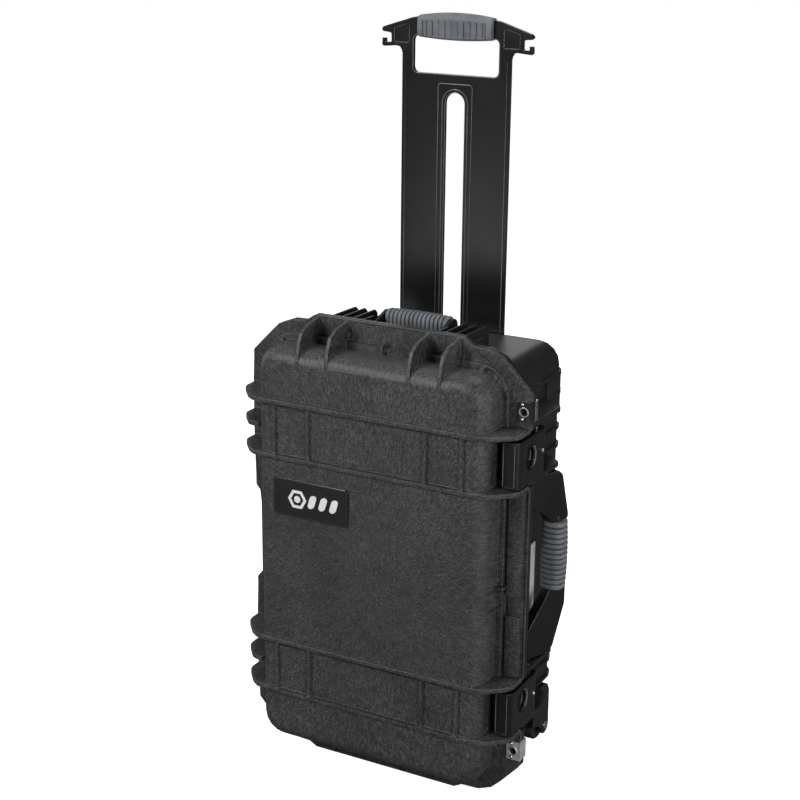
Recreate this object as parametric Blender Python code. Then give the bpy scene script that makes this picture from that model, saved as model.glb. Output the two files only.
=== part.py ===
"""Hard equipment case on wheels, standing on end with its pull handle out. Metres, +Z up, lid towards -Y."""

import math

import bmesh
import bpy
from mathutils import Matrix, Vector

# Overall placing: the shapes below are written about the tub's centre line, then shifted as one.
SHIFT_X = -0.0050
SHIFT_Y = -0.0084
MID_Z = 0.278

# Joint between lid and base.
LID_BACK_Y = -0.0475
BASE_FRONT_Y = -0.0472
FLANGE_FRONT_Y = -0.0540
FLANGE_BACK_Y = -0.0410
FLANGE_HALF_X = 0.180
FLANGE_HALF_Z = 0.278
FLANGE_FOOT_X = 0.096
LEFT_BASE_EDGE_X = -0.1762
POCKET_X = 0.1595

# Tubs.
WALL = 0.004
LID_HALF_X = 0.148
LID_HALF_Z = 0.2483
LID_MID_Z = 0.2768
LID_FRONT_Y = -0.1010
BASE_HALF_X = 0.147
BASE_HALF_Z = 0.244
BASE_TAPER = 0.0015
BASE_BACK_Y = 0.1160
TUB_CORNER = 0.028

# Ribs that run round both bands.
RIB_HALF = 0.003
RIB_LEVELS = (0.1832, 0.1172)
RIB_FRONT_Y = -0.1055
BAND_MID = 0.1502

# Hinge, on the left at the joint line.
HINGE_X = -0.1765
HINGE_Y = -0.0474
KNUCKLE_R = 0.005
HINGE_PIN_R = 0.002
FIT = 0.0001

# Latches and padlock plates, on the right.
LATCH_PIN = (0.1705, -0.0170)
LATCH_HALF_Z = 0.0270
LATCH_IN_X = 0.1608
LATCH_OUT_X = 0.1802
LATCH_FRONT_Y = -0.0825
HASP_Z = (0.4830, 0.0700)
HASP_X = 0.172
HASP_HOLE_R = 0.005

# Carry handles.
SIDE_PIVOT = (0.163, -0.003)
SIDE_REACH = 0.040
SIDE_ANGLE = math.radians(71)
SIDE_GRIP_Z = (0.245, 0.328)
TOP_PIVOT = (-0.004, 0.538)
TOP_GRIP = (0.024, 0.5435)
TOP_GRIP_HALF = 0.040

# Pull handle and its channel.
PLATE_Y = (0.1038, 0.1088)
PLATE_HALF_X = 0.0703
PLATE_FOOT_Z = 0.384
CHANNEL_HALF_X = 0.0725
CHANNEL_Y = 0.1015
PLATE_SINK = 0.0010
SLOT_HALF_X = 0.0124
SLOT_RIM_X = 0.0164

# Wheels.
WHEEL_R = 0.0205
WHEEL_X = 0.130
WHEEL_Y = 0.091
WHEEL_Z = 0.028
AXLE_R = 0.0035

# Padded dividers inside the base.
DIVIDER_Y = (-0.0450, 0.0830)
DIVIDER_HALF_X = 0.1278
DIVIDER_HALF_Z = 0.2248
DIVIDER_HALF = 0.0050
LONG_DIVIDER_X = 0.0250

COLOURS = {
    "shell": ((0.055, 0.056, 0.058), 0.55, 0.0),
    "black": ((0.012, 0.012, 0.013), 0.40, 0.0),
    "grip": ((0.095, 0.105, 0.115), 0.60, 0.0),
    "steel": ((0.62, 0.62, 0.63), 0.28, 1.0),
    "foam": ((0.045, 0.045, 0.050), 0.95, 0.0),
    "rubber": ((0.020, 0.020, 0.021), 0.80, 0.0),
    "label": ((0.800, 0.800, 0.790), 0.50, 0.0),
    "badge": ((0.008, 0.008, 0.009), 0.12, 0.0),
}


def clear_scene():
    for obj in list(bpy.data.objects):
        bpy.data.objects.remove(obj, do_unlink=True)


def place(axis, a, b, level):
    """A point from its two plane coordinates and its level along an axis."""
    if axis == "X":
        return Vector((level, a, b))
    if axis == "Y":
        return Vector((a, level, b))
    return Vector((a, b, level))


def loft(axis, rings):
    """A closed body through outlines of equal length, each given as (level, outline)."""
    count = len(rings[0][1])
    points = [place(axis, a, b, level) for level, outline in rings for a, b in outline]
    faces = [tuple(range(count)), tuple(range(len(points) - count, len(points)))]
    for ring in range(len(rings) - 1):
        for i in range(count):
            j = (i + 1) % count
            low = ring * count
            faces.append((low + i, low + j, low + count + j, low + count + i))
    return points, faces


def prism(axis, outline, low, high):
    return loft(axis, [(low, outline), (high, outline)])


def box(low, high):
    return prism("Z", rectangle(low[0], low[1], high[0], high[1]), low[2], high[2])


def ring_prism(axis, outer, inner, low, high):
    """A closed frame between two outlines of equal length."""
    count = len(outer)
    loops = [(outer, low), (outer, high), (inner, high), (inner, low)]
    points = [place(axis, a, b, level) for outline, level in loops for a, b in outline]
    faces = []
    for k in range(4):
        for i in range(count):
            j = (i + 1) % count
            here = k * count
            there = (k + 1) % 4 * count
            faces.append((here + i, here + j, there + j, there + i))
    return points, faces


def turned(axis, centre, profile, segments=24):
    """A body turned about an axis, from (radius, level) pairs, solid to its axis."""
    rings = [(level, circle(centre[0], centre[1], radius, segments)) for radius, level in profile]
    return loft(axis, rings)


def tube(axis, centre, profile, segments=20):
    """A ring turned about an axis, from a closed run of (radius, level) pairs."""
    points = []
    for radius, level in profile:
        points += [place(axis, a, b, level) for a, b in circle(centre[0], centre[1], radius, segments)]
    faces = []
    for k in range(len(profile)):
        here = k * segments
        there = (k + 1) % len(profile) * segments
        for i in range(segments):
            j = (i + 1) % segments
            faces.append((here + i, here + j, there + j, there + i))
    return points, faces


def rod(axis, centre, radius, low, high, segments=16):
    return turned(axis, centre, [(radius, low), (radius, high)], segments)


def rectangle(x0, y0, x1, y1):
    return [(x0, y0), (x1, y0), (x1, y1), (x0, y1)]


def circle(x, y, radius, segments):
    turn = 2 * math.pi / segments
    return [(x + radius * math.cos(turn * i), y + radius * math.sin(turn * i)) for i in range(segments)]


def rounded(outline, radius, steps=4):
    """An outline with its corners rounded. radius is one number, or one for each corner."""
    count = len(outline)
    radii = radius if isinstance(radius, (list, tuple)) else [radius] * count
    out = []
    for i in range(count):
        here = Vector(outline[i])
        before = (Vector(outline[i - 1]) - here).normalized()
        after = (Vector(outline[(i + 1) % count]) - here).normalized()
        if radii[i] <= 0:
            out.append(tuple(here))
            continue
        half = before.angle(after) / 2
        centre = here + (before + after).normalized() * radii[i] / math.sin(half)
        start = here + before * radii[i] / math.tan(half) - centre
        end = here + after * radii[i] / math.tan(half) - centre
        for k in range(steps + 1):
            out.append(tuple(centre + start.slerp(end, k / steps).normalized() * radii[i]))
    return out


def frame_outline(half_x, half_z, radius, steps=4, mid=MID_Z):
    """A rounded rectangle about the middle of the case, in X and Z."""
    corners = rectangle(-half_x, mid - half_z, half_x, mid + half_z)
    return rounded(corners, radius, steps)


def mirrored(outline, middle=0.0):
    """The outline with its first coordinate mirrored, in the same turning sense."""
    return [(2 * middle - a, b) for a, b in reversed(outline)]


def moved(shape, angle, offset):
    """A shape turned about Z, then shifted."""
    turn = Matrix.Rotation(angle, 4, "Z")
    return [turn @ point + Vector(offset) for point in shape[0]], shape[1]


def material(name, kind):
    colour, roughness, metallic = COLOURS[kind]
    made = bpy.data.materials.new(name)
    made.use_nodes = True
    shader = made.node_tree.nodes["Principled BSDF"]
    shader.inputs["Base Color"].default_value = (*colour, 1.0)
    shader.inputs["Roughness"].default_value = roughness
    shader.inputs["Metallic"].default_value = metallic
    made.diffuse_color = (*colour, 1.0)
    return made


def object_from(name, shape, pivot):
    """A mesh object whose origin is the pivot, with its faces turned outwards."""
    mesh = bpy.data.meshes.new(name)
    mesh.from_pydata([point - Vector(pivot) for point in shape[0]], [], shape[1])
    work = bmesh.new()
    work.from_mesh(mesh)
    bmesh.ops.recalc_face_normals(work, faces=work.faces)
    if work.calc_volume(signed=True) < 0:
        bmesh.ops.reverse_faces(work, faces=work.faces)
    work.to_mesh(mesh)
    work.free()
    obj = bpy.data.objects.new(name, mesh)
    obj.location = (pivot[0] + SHIFT_X, pivot[1] + SHIFT_Y, pivot[2])
    return obj


def combine(obj, pivot, steps):
    """Adds each step, ("UNION" or "DIFFERENCE", shapes), as one exact Boolean."""
    for number, (operation, shapes) in enumerate(steps):
        group = bpy.data.collections.new(f"{obj.name}_{operation.lower()}_{number}")
        helpers.children.link(group)
        for i, shape in enumerate(shapes):
            if isinstance(shape, bpy.types.Object):
                group.objects.link(shape)
                continue
            piece = object_from(f"{group.name}_{i}", shape, pivot)
            piece.hide_render = True
            piece.display_type = "WIRE"
            group.objects.link(piece)
        modifier = obj.modifiers.new(f"{operation.lower()}_{number}", "BOOLEAN")
        modifier.operation = operation
        modifier.solver = "EXACT"
        modifier.operand_type = "COLLECTION"
        modifier.collection = group


def helper(name, shape, steps=(), pivot=(0, 0, 0)):
    obj = object_from(name, shape, pivot)
    obj.hide_render = True
    obj.display_type = "WIRE"
    combine(obj, pivot, steps)
    return obj


def part(name, kind, shape, steps=(), pivot=(0, 0, 0)):
    obj = object_from(name, shape, pivot)
    bpy.context.scene.collection.objects.link(obj)
    obj.data.materials.append(material(name, kind))
    combine(obj, pivot, steps)
    return obj


def tub_rings(half_x, half_z, corner, edge_y, face_y, inset, open_y, mid=MID_Z, taper=0.0, steps=4):
    """Outlines of a tub from its closed face to its open side, with an elliptical edge and a taper."""
    rings = []
    for k in range(steps + 1):
        turn = math.pi / 2 * k / steps
        shrink = inset * (1 - math.sin(turn)) + taper
        level = edge_y + (face_y - edge_y) * math.cos(turn)
        radius = max(corner - 0.6 * shrink, 0.008)
        rings.append((level, frame_outline(half_x - shrink, half_z - shrink, radius, mid=mid)))
    rings.append((open_y, frame_outline(half_x, half_z, corner, mid=mid)))
    return rings


def flange_outline(left_x, pocket, recess=True):
    """The flange seen from the front: raised at top and bottom, with bevelled corners."""
    foot = FLANGE_FOOT_X
    drops = [(foot, 0), (foot + 0.013, 0.0090), (foot + 0.030, 0.0095), (0.1440, 0.0165), (0.1556, 0.0280)]
    top_right = [(x, MID_Z + FLANGE_HALF_Z - drop) for x, drop in drops]
    top_right.append((FLANGE_HALF_X, MID_Z + FLANGE_HALF_Z - 0.0530))
    drops = [(foot, 0), (foot + 0.010, 0.0055), (foot + 0.032, 0.0062), (0.1450, 0.0130), (0.1570, 0.0245)]
    bottom_right = [(x, MID_Z - FLANGE_HALF_Z + drop) for x, drop in reversed(drops)]
    bottom_right.insert(0, (FLANGE_HALF_X, MID_Z - FLANGE_HALF_Z + 0.0500))
    right = []
    for side in (1, -1):
        low, high = (MID_Z + side * level for level in sorted(RIB_LEVELS, reverse=side > 0))
        right += [(FLANGE_HALF_X, low), (pocket, low), (pocket, high), (FLANGE_HALF_X, high)]
    if not pocket:
        right = []
    left = [(max(-x, left_x), z) for x, z in reversed(bottom_right)]
    left += [(max(-x, left_x), z) for x, z in reversed(top_right)]
    if recess:
        notch = [(left_x, 0.213), (left_x + 0.0075, 0.2215), (left_x + 0.0075, 0.3255), (left_x, 0.334)]
        left = left[:6] + notch + left[6:]
    return top_right + right + bottom_right + left


def lid_shelf():
    """Plan of a lid rib: along the front, round both corners and back to the flange."""
    right = [(0.135, RIB_FRONT_Y), (0.150, -0.1035), (0.160, -0.0968), (0.1792, -0.0790), (0.1792, -0.0500)]
    left = mirrored(right[:3] + [(0.1792, -0.0745), right[4]])
    outline = right + left
    return rounded(outline, [0, 0.004, 0.010, 0.020, 0, 0, 0.020, 0.010, 0.004, 0], 3)


def lid_mid_fin():
    outline = [(-0.142, -0.0800), (-0.146, -0.1000), (-0.160, -0.0968), (-0.1792, -0.0745), (-0.1792, -0.0500)]
    outline.append((-0.142, -0.0500))
    return rounded(outline, [0, 0.003, 0.010, 0.020, 0, 0], 3)


def base_shelf():
    outline = [(-0.1750, -0.0430), (0.1758, -0.0430), (0.1758, 0.0390), (0.1520, 0.0570)]
    outline += [(-0.1520, 0.0570), (-0.1750, 0.0390)]
    return rounded(outline, [0, 0, 0.006, 0.004, 0.004, 0.006], 2)


def corner_rib():
    """Plan of a low rib round the back corners."""
    right = [(0.1488, 0.0400), (0.1488, 0.0970), (0.1450, 0.1080), (0.1360, 0.1172), (0.1220, 0.1172)]
    right.append((0.1180, 0.1130))
    return right + mirrored(right)


def slab(outline, offset, half=RIB_HALF):
    return prism("Z", outline, MID_Z + offset - half, MID_Z + offset + half)


def peg(x, z, turn):
    """A small bar on the lid's rim, pointing away from the tub."""
    angle = math.radians(turn)
    along = (0.0060 * math.cos(angle), 0.0060 * math.sin(angle))
    across = (-0.0020 * math.sin(angle), 0.0020 * math.cos(angle))
    ends = ((1, 1), (-1, 1), (-1, -1), (1, -1))
    outline = [(x + a * along[0] + b * across[0], z + a * along[1] + b * across[1]) for a, b in ends]
    return prism("Y", outline, -0.0665, -0.0500)


def gusset(x):
    """A web from the raised flange at the top down to the lid's front edge."""
    side = [(-0.0500, 0.277), (-0.0790, 0.2725), (-0.0910, 0.2660), (-0.0975, 0.2530), (-0.1015, 0.2320)]
    side += [(-0.0850, 0.2320), (-0.0500, 0.2320)]
    return prism("X", [(y, MID_Z + z) for y, z in side], x - 0.0022, x + 0.0022)


def band_ribs():
    """The upright ribs between the two rims of each band on the lid's front."""
    shapes = []
    for side in (1, -1):
        low, high = sorted(MID_Z + side * level for level in RIB_LEVELS)
        for x in (-0.1208, -0.0755, 0.0755, 0.1208):
            shapes.append(box((x - 0.0025, -0.1048, low), (x + 0.0025, -0.0900, high)))
    return shapes


def hinge_spans(side):
    """(low, high) of a hinge's three knuckles: base, lid, base."""
    mid = MID_Z + side * BAND_MID
    return ((mid - 0.0275, mid - 0.0136), (mid - 0.0132, mid + 0.0132), (mid + 0.0136, mid + 0.0275))


def hinge_rods(radius, which, grow=0.0):
    axis = (HINGE_X, HINGE_Y)
    spans = [hinge_spans(side)[k] for side in (1, -1) for k in which]
    return [rod("Z", axis, radius, low - grow, high + grow) for low, high in spans]


def make_lid():
    rings = tub_rings(LID_HALF_X, LID_HALF_Z, TUB_CORNER, -0.080, LID_FRONT_Y, 0.016, -0.050, LID_MID_Z)
    tub = loft("Y", rings)
    plinth = prism("Y", frame_outline(0.1553, 0.2541, 0.034), -0.0610, -0.0500)
    flange = helper(
        "lid_flange",
        prism("Y", flange_outline(-FLANGE_HALF_X, POCKET_X), FLANGE_FRONT_Y, LID_BACK_Y),
        [("DIFFERENCE", [lid_edge_chamfer()])],
    )
    shelves = [slab(lid_shelf(), side * level) for side in (1, -1) for level in RIB_LEVELS]
    fins = [slab(lid_mid_fin(), side * BAND_MID) for side in (1, -1)]
    gussets = [gusset(x) for x in (-0.0905, -0.0523, 0.0523, 0.0905)]
    pads = [box((0.1590, -0.0590, low), (0.1755, -0.0500, high)) for low, high in ((0.165, 0.240), (0.264, 0.391))]
    spots = [(0.0, 0.5300, 90), (0.1235, 0.5240, 65), (0.1400, 0.5100, 30), (-0.1300, 0.5205, 120)]
    pegs = [peg(x, z, turn) for x, z, turn in spots + [(0.1525, 0.2740, 0)]]
    inner = (LID_HALF_X - WALL, LID_HALF_Z - WALL, 0.024)
    cavity = loft("Y", tub_rings(*inner, -0.080, LID_FRONT_Y + WALL, 0.012, -0.030, LID_MID_Z))
    groove = ring_prism(
        "Y",
        frame_outline(0.1548, 0.2523, 0.0303),
        frame_outline(0.1492, 0.2467, 0.0247),
        LID_BACK_Y - 0.0035,
        LID_BACK_Y + 0.010,
    )
    holes = [rod("Y", (HASP_X, z), HASP_HOLE_R + 0.0002, -0.08, 0.0) for z in HASP_Z]
    rivets = [rod("Y", spot, 0.0013, -0.080, -0.047, 12) for spot in rivet_spots()]
    part(
        "lid_shell",
        "shell",
        tub,
        [
            ("UNION", [plinth, flange] + shelves + fins + gussets + pads + band_ribs() + pegs),
            ("DIFFERENCE", [cavity, groove] + holes + rivets),
            ("DIFFERENCE", hinge_rods(KNUCKLE_R + 0.0005, (0, 2), 0.0013)),
            ("UNION", hinge_rods(KNUCKLE_R, (1,))),
            ("DIFFERENCE", hinge_rods(HINGE_PIN_R + FIT, (1,), 0.002)),
        ],
        pivot=(HINGE_X, HINGE_Y, MID_Z),
    )


def lid_edge_chamfer():
    """Takes the lid's back edge off left of the hinge axis, so that it clears the base as it turns."""
    outline = [(-0.1900, -0.0555), (-0.1812, -0.0555), (-0.1760, -0.0500), (-0.1760, -0.0430), (-0.1900, -0.0430)]
    return prism("Z", outline, -0.020, 0.580)


def make_gasket():
    part(
        "lid_gasket",
        "rubber",
        ring_prism(
            "Y",
            frame_outline(0.1545, 0.2520, 0.0300),
            frame_outline(0.1495, 0.2470, 0.0250),
            LID_BACK_Y - 0.0032,
            LID_BACK_Y + 0.0001,
        ),
        pivot=(HINGE_X, HINGE_Y, MID_Z),
    )


def fin(x0, x1, outline):
    return prism("X", outline, x0, x1)


def top_fins():
    """Webs on the base's top that stiffen the flange and carry the top handle."""
    long_side = [(-0.0430, 0.512), (-0.0430, 0.5520), (0.0245, 0.5500), (0.0290, 0.5455)]
    long_side.append((0.0290, 0.512))
    inner_side = [(-0.0430, 0.512), (-0.0430, 0.5515), (0.0020, 0.5490), (0.0060, 0.5400), (0.0060, 0.512)]
    outer_side = [(-0.0430, 0.512), (-0.0430, 0.5470), (-0.0060, 0.5450), (-0.0040, 0.512)]
    shapes = []
    for x, outline in ((0.060, long_side), (0.0735, long_side), (0.086, long_side), (0.049, inner_side)):
        shapes += [fin(x - 0.0014, x + 0.0014, outline), fin(-x - 0.0014, -x + 0.0014, outline)]
    shapes += [fin(sign * 0.097 - 0.0014, sign * 0.097 + 0.0014, outer_side) for sign in (1, -1)]
    return shapes


def side_fins():
    """Low webs on the right wall, above and below the side handle's grip."""
    shapes = []
    for offset in (0.0270, 0.0450, 0.0630, 0.0810, 0.0990):
        for side in (1, -1):
            z = MID_Z + side * offset
            reach = 0.1555 if offset < 0.0700 else 0.1525
            shapes.append(box((0.1400, -0.0430, z - 0.0012), (reach, 0.0120, z + 0.0012)))
    return shapes


def wheel_boxes(x, y, z):
    return [box((x, y, -0.020), (0.180, 0.140, z)), box((-0.180, y, -0.020), (-x, 0.140, z))]


def make_base():
    size = (BASE_HALF_X, BASE_HALF_Z, TUB_CORNER)
    tub = loft("Y", tub_rings(*size, 0.094, BASE_BACK_Y, 0.014, -0.045, taper=BASE_TAPER))
    plinth = prism("Y", frame_outline(0.1540, BASE_HALF_Z + 0.007, 0.033), -0.0440, -0.0310)
    flange = prism("Y", flange_outline(LEFT_BASE_EDGE_X, POCKET_X, False), BASE_FRONT_Y, FLANGE_BACK_Y)
    shelves = [slab(base_shelf(), side * level) for side in (1, -1) for level in RIB_LEVELS]
    ribs = [slab(corner_rib(), offset, 0.0022) for offset in (0.2070, 0.1832, 0.1620, 0.1400, 0.1172)]
    ribs += [slab(corner_rib(), -offset, 0.0022) for offset in (0.1832, 0.1620, 0.1400, 0.1172)]
    bumper = [(0.120, 0.0600), (0.1484, 0.0600), (0.1484, 0.0967), (0.1447, 0.1077), (0.1358, 0.1168)]
    bumper.append((0.120, 0.1168))
    bumpers = [prism("Z", outline, 0.440, 0.485) for outline in (bumper, mirrored(bumper))]
    feet = [box((sign * 0.108 - 0.006, 0.108, 0.100), (sign * 0.108 + 0.006, 0.1200, 0.456)) for sign in (1, -1)]
    stands = [box((sign * 0.078 - 0.016, 0.044, 0.0), (sign * 0.078 + 0.016, 0.068, 0.040)) for sign in (1, -1)]
    seat = box((0.1400, 0.0190, 0.1880), (0.1471, 0.0470, 0.2940))
    inner = (BASE_HALF_X - WALL, BASE_HALF_Z - WALL, 0.024)
    cavity = helper(
        "base_cavity",
        loft("Y", tub_rings(*inner, 0.092, 0.1118, 0.011, -0.060, taper=BASE_TAPER)),
        [("DIFFERENCE", [box((-0.077, 0.0975, -0.01), (0.077, 0.13, 0.60))] + wheel_boxes(0.106, 0.049, 0.092))],
    )
    channel = box((-CHANNEL_HALF_X, CHANNEL_Y, 0.058), (CHANNEL_HALF_X, 0.140, 0.600))
    padlock = [rod("Y", (HASP_X, z), HASP_HOLE_R + 0.0002, -0.08, 0.0) for z in HASP_Z]
    latch_holes = [latch_pin_rod(side, HINGE_PIN_R + FIT, 0.010) for side in (1, -1)]
    handle_holes = [side_pin_rod(side, 0.003 + FIT, 0.010) for side in (1, -1)]
    top_holes = [top_pin_rod(side, 0.0025 + FIT, 0.004) for side in (1, -1)]
    part(
        "base_shell",
        "black",
        tub,
        [
            ("UNION", [plinth, flange, seat] + shelves + ribs + bumpers + feet + stands + top_fins() + side_fins()),
            ("DIFFERENCE", [cavity, channel] + wheel_boxes(0.110, 0.053, 0.088)),
            ("DIFFERENCE", padlock + latch_holes + handle_holes + top_holes),
            ("DIFFERENCE", [rod("Z", (0.0, -0.010), 0.0062, 0.500, 0.560)] + screw_holes()),
            ("DIFFERENCE", hinge_rods(KNUCKLE_R + 0.0005, (1,), 0.0003)),
            ("UNION", hinge_rods(KNUCKLE_R, (0, 2))),
            ("DIFFERENCE", hinge_rods(HINGE_PIN_R + FIT, (0, 2), 0.002)),
        ],
    )


def make_hinge_pins():
    for side, word in ((1, "upper"), (-1, "lower")):
        spans = hinge_spans(side)
        part(
            f"hinge_pin_{word}",
            "steel",
            rod("Z", (HINGE_X, HINGE_Y), HINGE_PIN_R, spans[0][0] - 0.001, spans[2][1] + 0.001),
            pivot=(HINGE_X, HINGE_Y, MID_Z + side * BAND_MID),
        )


def latch_pin_rod(side, radius, grow=0.0):
    mid = MID_Z + side * BAND_MID
    return rod("Z", LATCH_PIN, radius, mid - 0.0355 - grow, mid + 0.0355 + grow)


def side_pin_rod(side, radius, grow=0.0):
    """The side handle's pivot pin: through a rib and into the arm's eye."""
    near = MID_Z + side * 0.0990
    far = MID_Z + side * 0.1200
    low, high = sorted((near, far))
    return rod("Z", SIDE_PIVOT, radius, low - grow, high + grow)


def top_pin_rod(side, radius, grow=0.0):
    low, high = sorted((side * 0.0418, side * 0.0530))
    return rod("X", TOP_PIVOT, radius, low - grow, high + grow)


def oval(centre, half_a, half_b, steps=20):
    points = []
    for k in range(steps):
        turn = 2 * math.pi * k / steps
        points.append((centre[0] + half_a * math.cos(turn), centre[1] + half_b * math.sin(turn)))
    return points


def make_latch(side, word):
    mid = MID_Z + side * BAND_MID
    pin_x, pin_y = LATCH_PIN
    outline = [(LATCH_IN_X, LATCH_FRONT_Y), (0.1755, LATCH_FRONT_Y), (0.1785, -0.0805), (LATCH_OUT_X, -0.0760)]
    radius = LATCH_OUT_X - pin_x
    outline += [(pin_x + radius * math.cos(a), pin_y + radius * math.sin(a)) for a in half_turn()]
    centre = (-0.0505, mid + (0.0035 if side > 0 else 0.0080))
    spot = (-0.0195, mid + 0.0020)
    rivet_hole = rod("X", spot, 0.0030, 0.1745, 0.1900, 12)
    pivot = (pin_x, pin_y, mid)
    part(
        f"latch_{word}",
        "black",
        prism("Z", outline, mid - LATCH_HALF_Z, mid + LATCH_HALF_Z),
        [
            ("DIFFERENCE", [latch_pin_rod(side, HINGE_PIN_R + FIT, 0.004)]),
            ("DIFFERENCE", [prism("X", oval(centre, 0.0129, 0.0146), 0.1700, 0.1900), rivet_hole]),
            ("DIFFERENCE", [box((0.1636, -0.0900, mid - 0.0245), (0.1738, -0.0813, mid + 0.0245))]),
        ],
        pivot=pivot,
    )
    dish = prism("X", oval((centre[0] - 0.0040, centre[1]), 0.0115, 0.0128), 0.1762, 0.1900)
    part(
        f"latch_trigger_{word}",
        "black",
        prism("X", oval(centre, 0.0126, 0.0143), 0.1730, 0.1805),
        [("DIFFERENCE", [dish])],
        pivot=(0.1730, *centre),
    )
    part(
        f"latch_rivet_{word}",
        "steel",
        turned("X", spot, [(0.0027, 0.1749), (0.0027, 0.1807), (0.0017, 0.1816)], 12),
        pivot=(0.1749, *spot),
    )
    part(f"latch_pin_{word}", "steel", latch_pin_rod(side, HINGE_PIN_R), pivot=pivot)


def half_turn(steps=10):
    return [math.pi * k / steps for k in range(steps + 1)]


def rivet_spots():
    return [(0.1700, z + step) for z in HASP_Z for step in (0.0085, -0.0085)]


def hasp(front, z):
    """A folded plate over the flange's edge. front is True on the lid, False on the base."""
    if front:
        outline = [(0.1640, -0.0555), (0.1815, -0.0555), (0.1815, -0.0480), (0.1803, -0.0480)]
        outline += [(0.1803, -0.0543), (0.1640, -0.0543)]
    else:
        outline = [(0.1640, -0.0395), (0.1640, -0.0407), (0.1803, -0.0407), (0.1803, -0.0467)]
        outline += [(0.1815, -0.0467), (0.1815, -0.0395)]
    return prism("Z", outline, z - 0.0118, z + 0.0118)


def make_hasps():
    for z, word in zip(HASP_Z, ("upper", "lower")):
        hole = rod("Y", (HASP_X, z), HASP_HOLE_R, -0.08, 0.0)
        spots = [(0.1700, z + step) for step in (0.0085, -0.0085)]
        rivet_holes = [rod("Y", spot, 0.0013, -0.080, -0.047, 12) for spot in spots]
        part(
            f"lid_hasp_{word}",
            "steel",
            hasp(True, z),
            [("DIFFERENCE", [hole] + rivet_holes)],
            pivot=(HASP_X, -0.0549, z),
        )
        part(f"base_hasp_{word}", "steel", hasp(False, z), [("DIFFERENCE", [hole])], pivot=(HASP_X, -0.0401, z))
        for spot, end in zip(spots, ("a", "b")):
            profile = [(0.0011, -0.0485), (0.0011, -0.0558), (0.0021, -0.0558), (0.0021, -0.0562), (0.0012, -0.0569)]
            part(f"hasp_rivet_{word}_{end}", "steel", turned("Y", spot, profile, 12), pivot=(spot[0], -0.0558, spot[1]))


def make_side_handle():
    def arm(side, edge, tail):
        """A broad web from the pivot out to the grip's end, which it meets at edge."""
        outline = [(-0.0065, 0.1130), (tail - 0.0070, 0.1130), (tail, 0.1070), (0.0545, 0.0570), (0.0545, edge)]
        outline += [(0.0270, edge), (0.0200, edge + 0.0100), (-0.0065, 0.0760)]
        outline = rounded(outline, [0.003, 0.006, 0.008, 0.012, 0.002, 0.002, 0.010, 0.003], 2)
        shape = prism("Y", [(r, MID_Z + side * z) for r, z in outline], -0.0065, 0.0065)
        return moved(shape, SIDE_ANGLE, (*SIDE_PIVOT, 0))

    centre = (
        SIDE_PIVOT[0] + SIDE_REACH * math.cos(SIDE_ANGLE),
        SIDE_PIVOT[1] + SIDE_REACH * math.sin(SIDE_ANGLE),
    )
    pivot = (*SIDE_PIVOT, MID_Z)
    core = rod("Z", centre, 0.0080, SIDE_GRIP_Z[0] - 0.006, SIDE_GRIP_Z[1] + 0.006, 16)
    upper = arm(1, SIDE_GRIP_Z[1] - MID_Z + 0.0005, 0.0430)
    lower = arm(-1, MID_Z - SIDE_GRIP_Z[0] + 0.0005, 0.0365)
    pins = [side_pin_rod(side, 0.003 + FIT, 0.0) for side in (1, -1)]
    part(
        "side_handle_frame",
        "black",
        upper,
        [("UNION", [lower, core]), ("DIFFERENCE", pins)],
        pivot=pivot,
    )
    low, high = SIDE_GRIP_Z
    mid = (low + high) / 2
    profile = [(0.0083, low), (0.0132, low), (0.0145, low + 0.0013), (0.0155, mid), (0.0145, high - 0.0013)]
    profile += [(0.0132, high), (0.0083, high)]
    part("side_handle_grip", "grip", tube("Z", centre, profile, 20), pivot=(*centre, mid))
    for side, word in ((1, "upper"), (-1, "lower")):
        shape = side_pin_rod(side, 0.003, -0.0004)
        part(f"side_handle_pin_{word}", "steel", shape, pivot=(*SIDE_PIVOT, MID_Z + side * 0.1095))


def make_top_handle():
    eye_y, eye_z = TOP_PIVOT
    grip_y, grip_z = TOP_GRIP
    pivot = (0.0, eye_y, eye_z)
    rise = math.atan2(grip_z - eye_z, grip_y - eye_y)

    def link():
        """Two eyes joined by their tangents, in Y and Z."""
        points = []
        for k in range(9):
            turn = rise + math.pi / 2 + math.pi * k / 8
            points.append((eye_y + 0.0065 * math.cos(turn), eye_z + 0.0065 * math.sin(turn)))
        for k in range(9):
            turn = rise - math.pi / 2 + math.pi * k / 8
            points.append((grip_y + 0.0092 * math.cos(turn), grip_z + 0.0092 * math.sin(turn)))
        return points

    arms = [prism("X", link(), *sorted((s * 0.0414, s * 0.0456))) for s in (1, -1)]
    core = rod("X", TOP_GRIP, 0.0080, -0.0450, 0.0450, 20)
    holes = [top_pin_rod(side, 0.0025 + FIT, 0.002) for side in (1, -1)]
    part("top_handle_frame", "black", arms[0], [("UNION", [core, arms[1]]), ("DIFFERENCE", holes)], pivot=pivot)
    half = TOP_GRIP_HALF
    outer = [(0.0112, -half), (0.0118, -half + 0.0015), (0.0125, 0.0), (0.0118, half - 0.0015), (0.0112, half)]
    part(
        "top_handle_grip",
        "grip",
        tube("X", TOP_GRIP, [(0.0083, -half)] + outer + [(0.0083, half)], 24),
        pivot=(0.0, grip_y, grip_z),
    )
    for side, word in ((1, "right"), (-1, "left")):
        part(f"top_handle_pin_{word}", "steel", top_pin_rod(side, 0.0025), pivot=(side * 0.0474, eye_y, eye_z))


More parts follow.
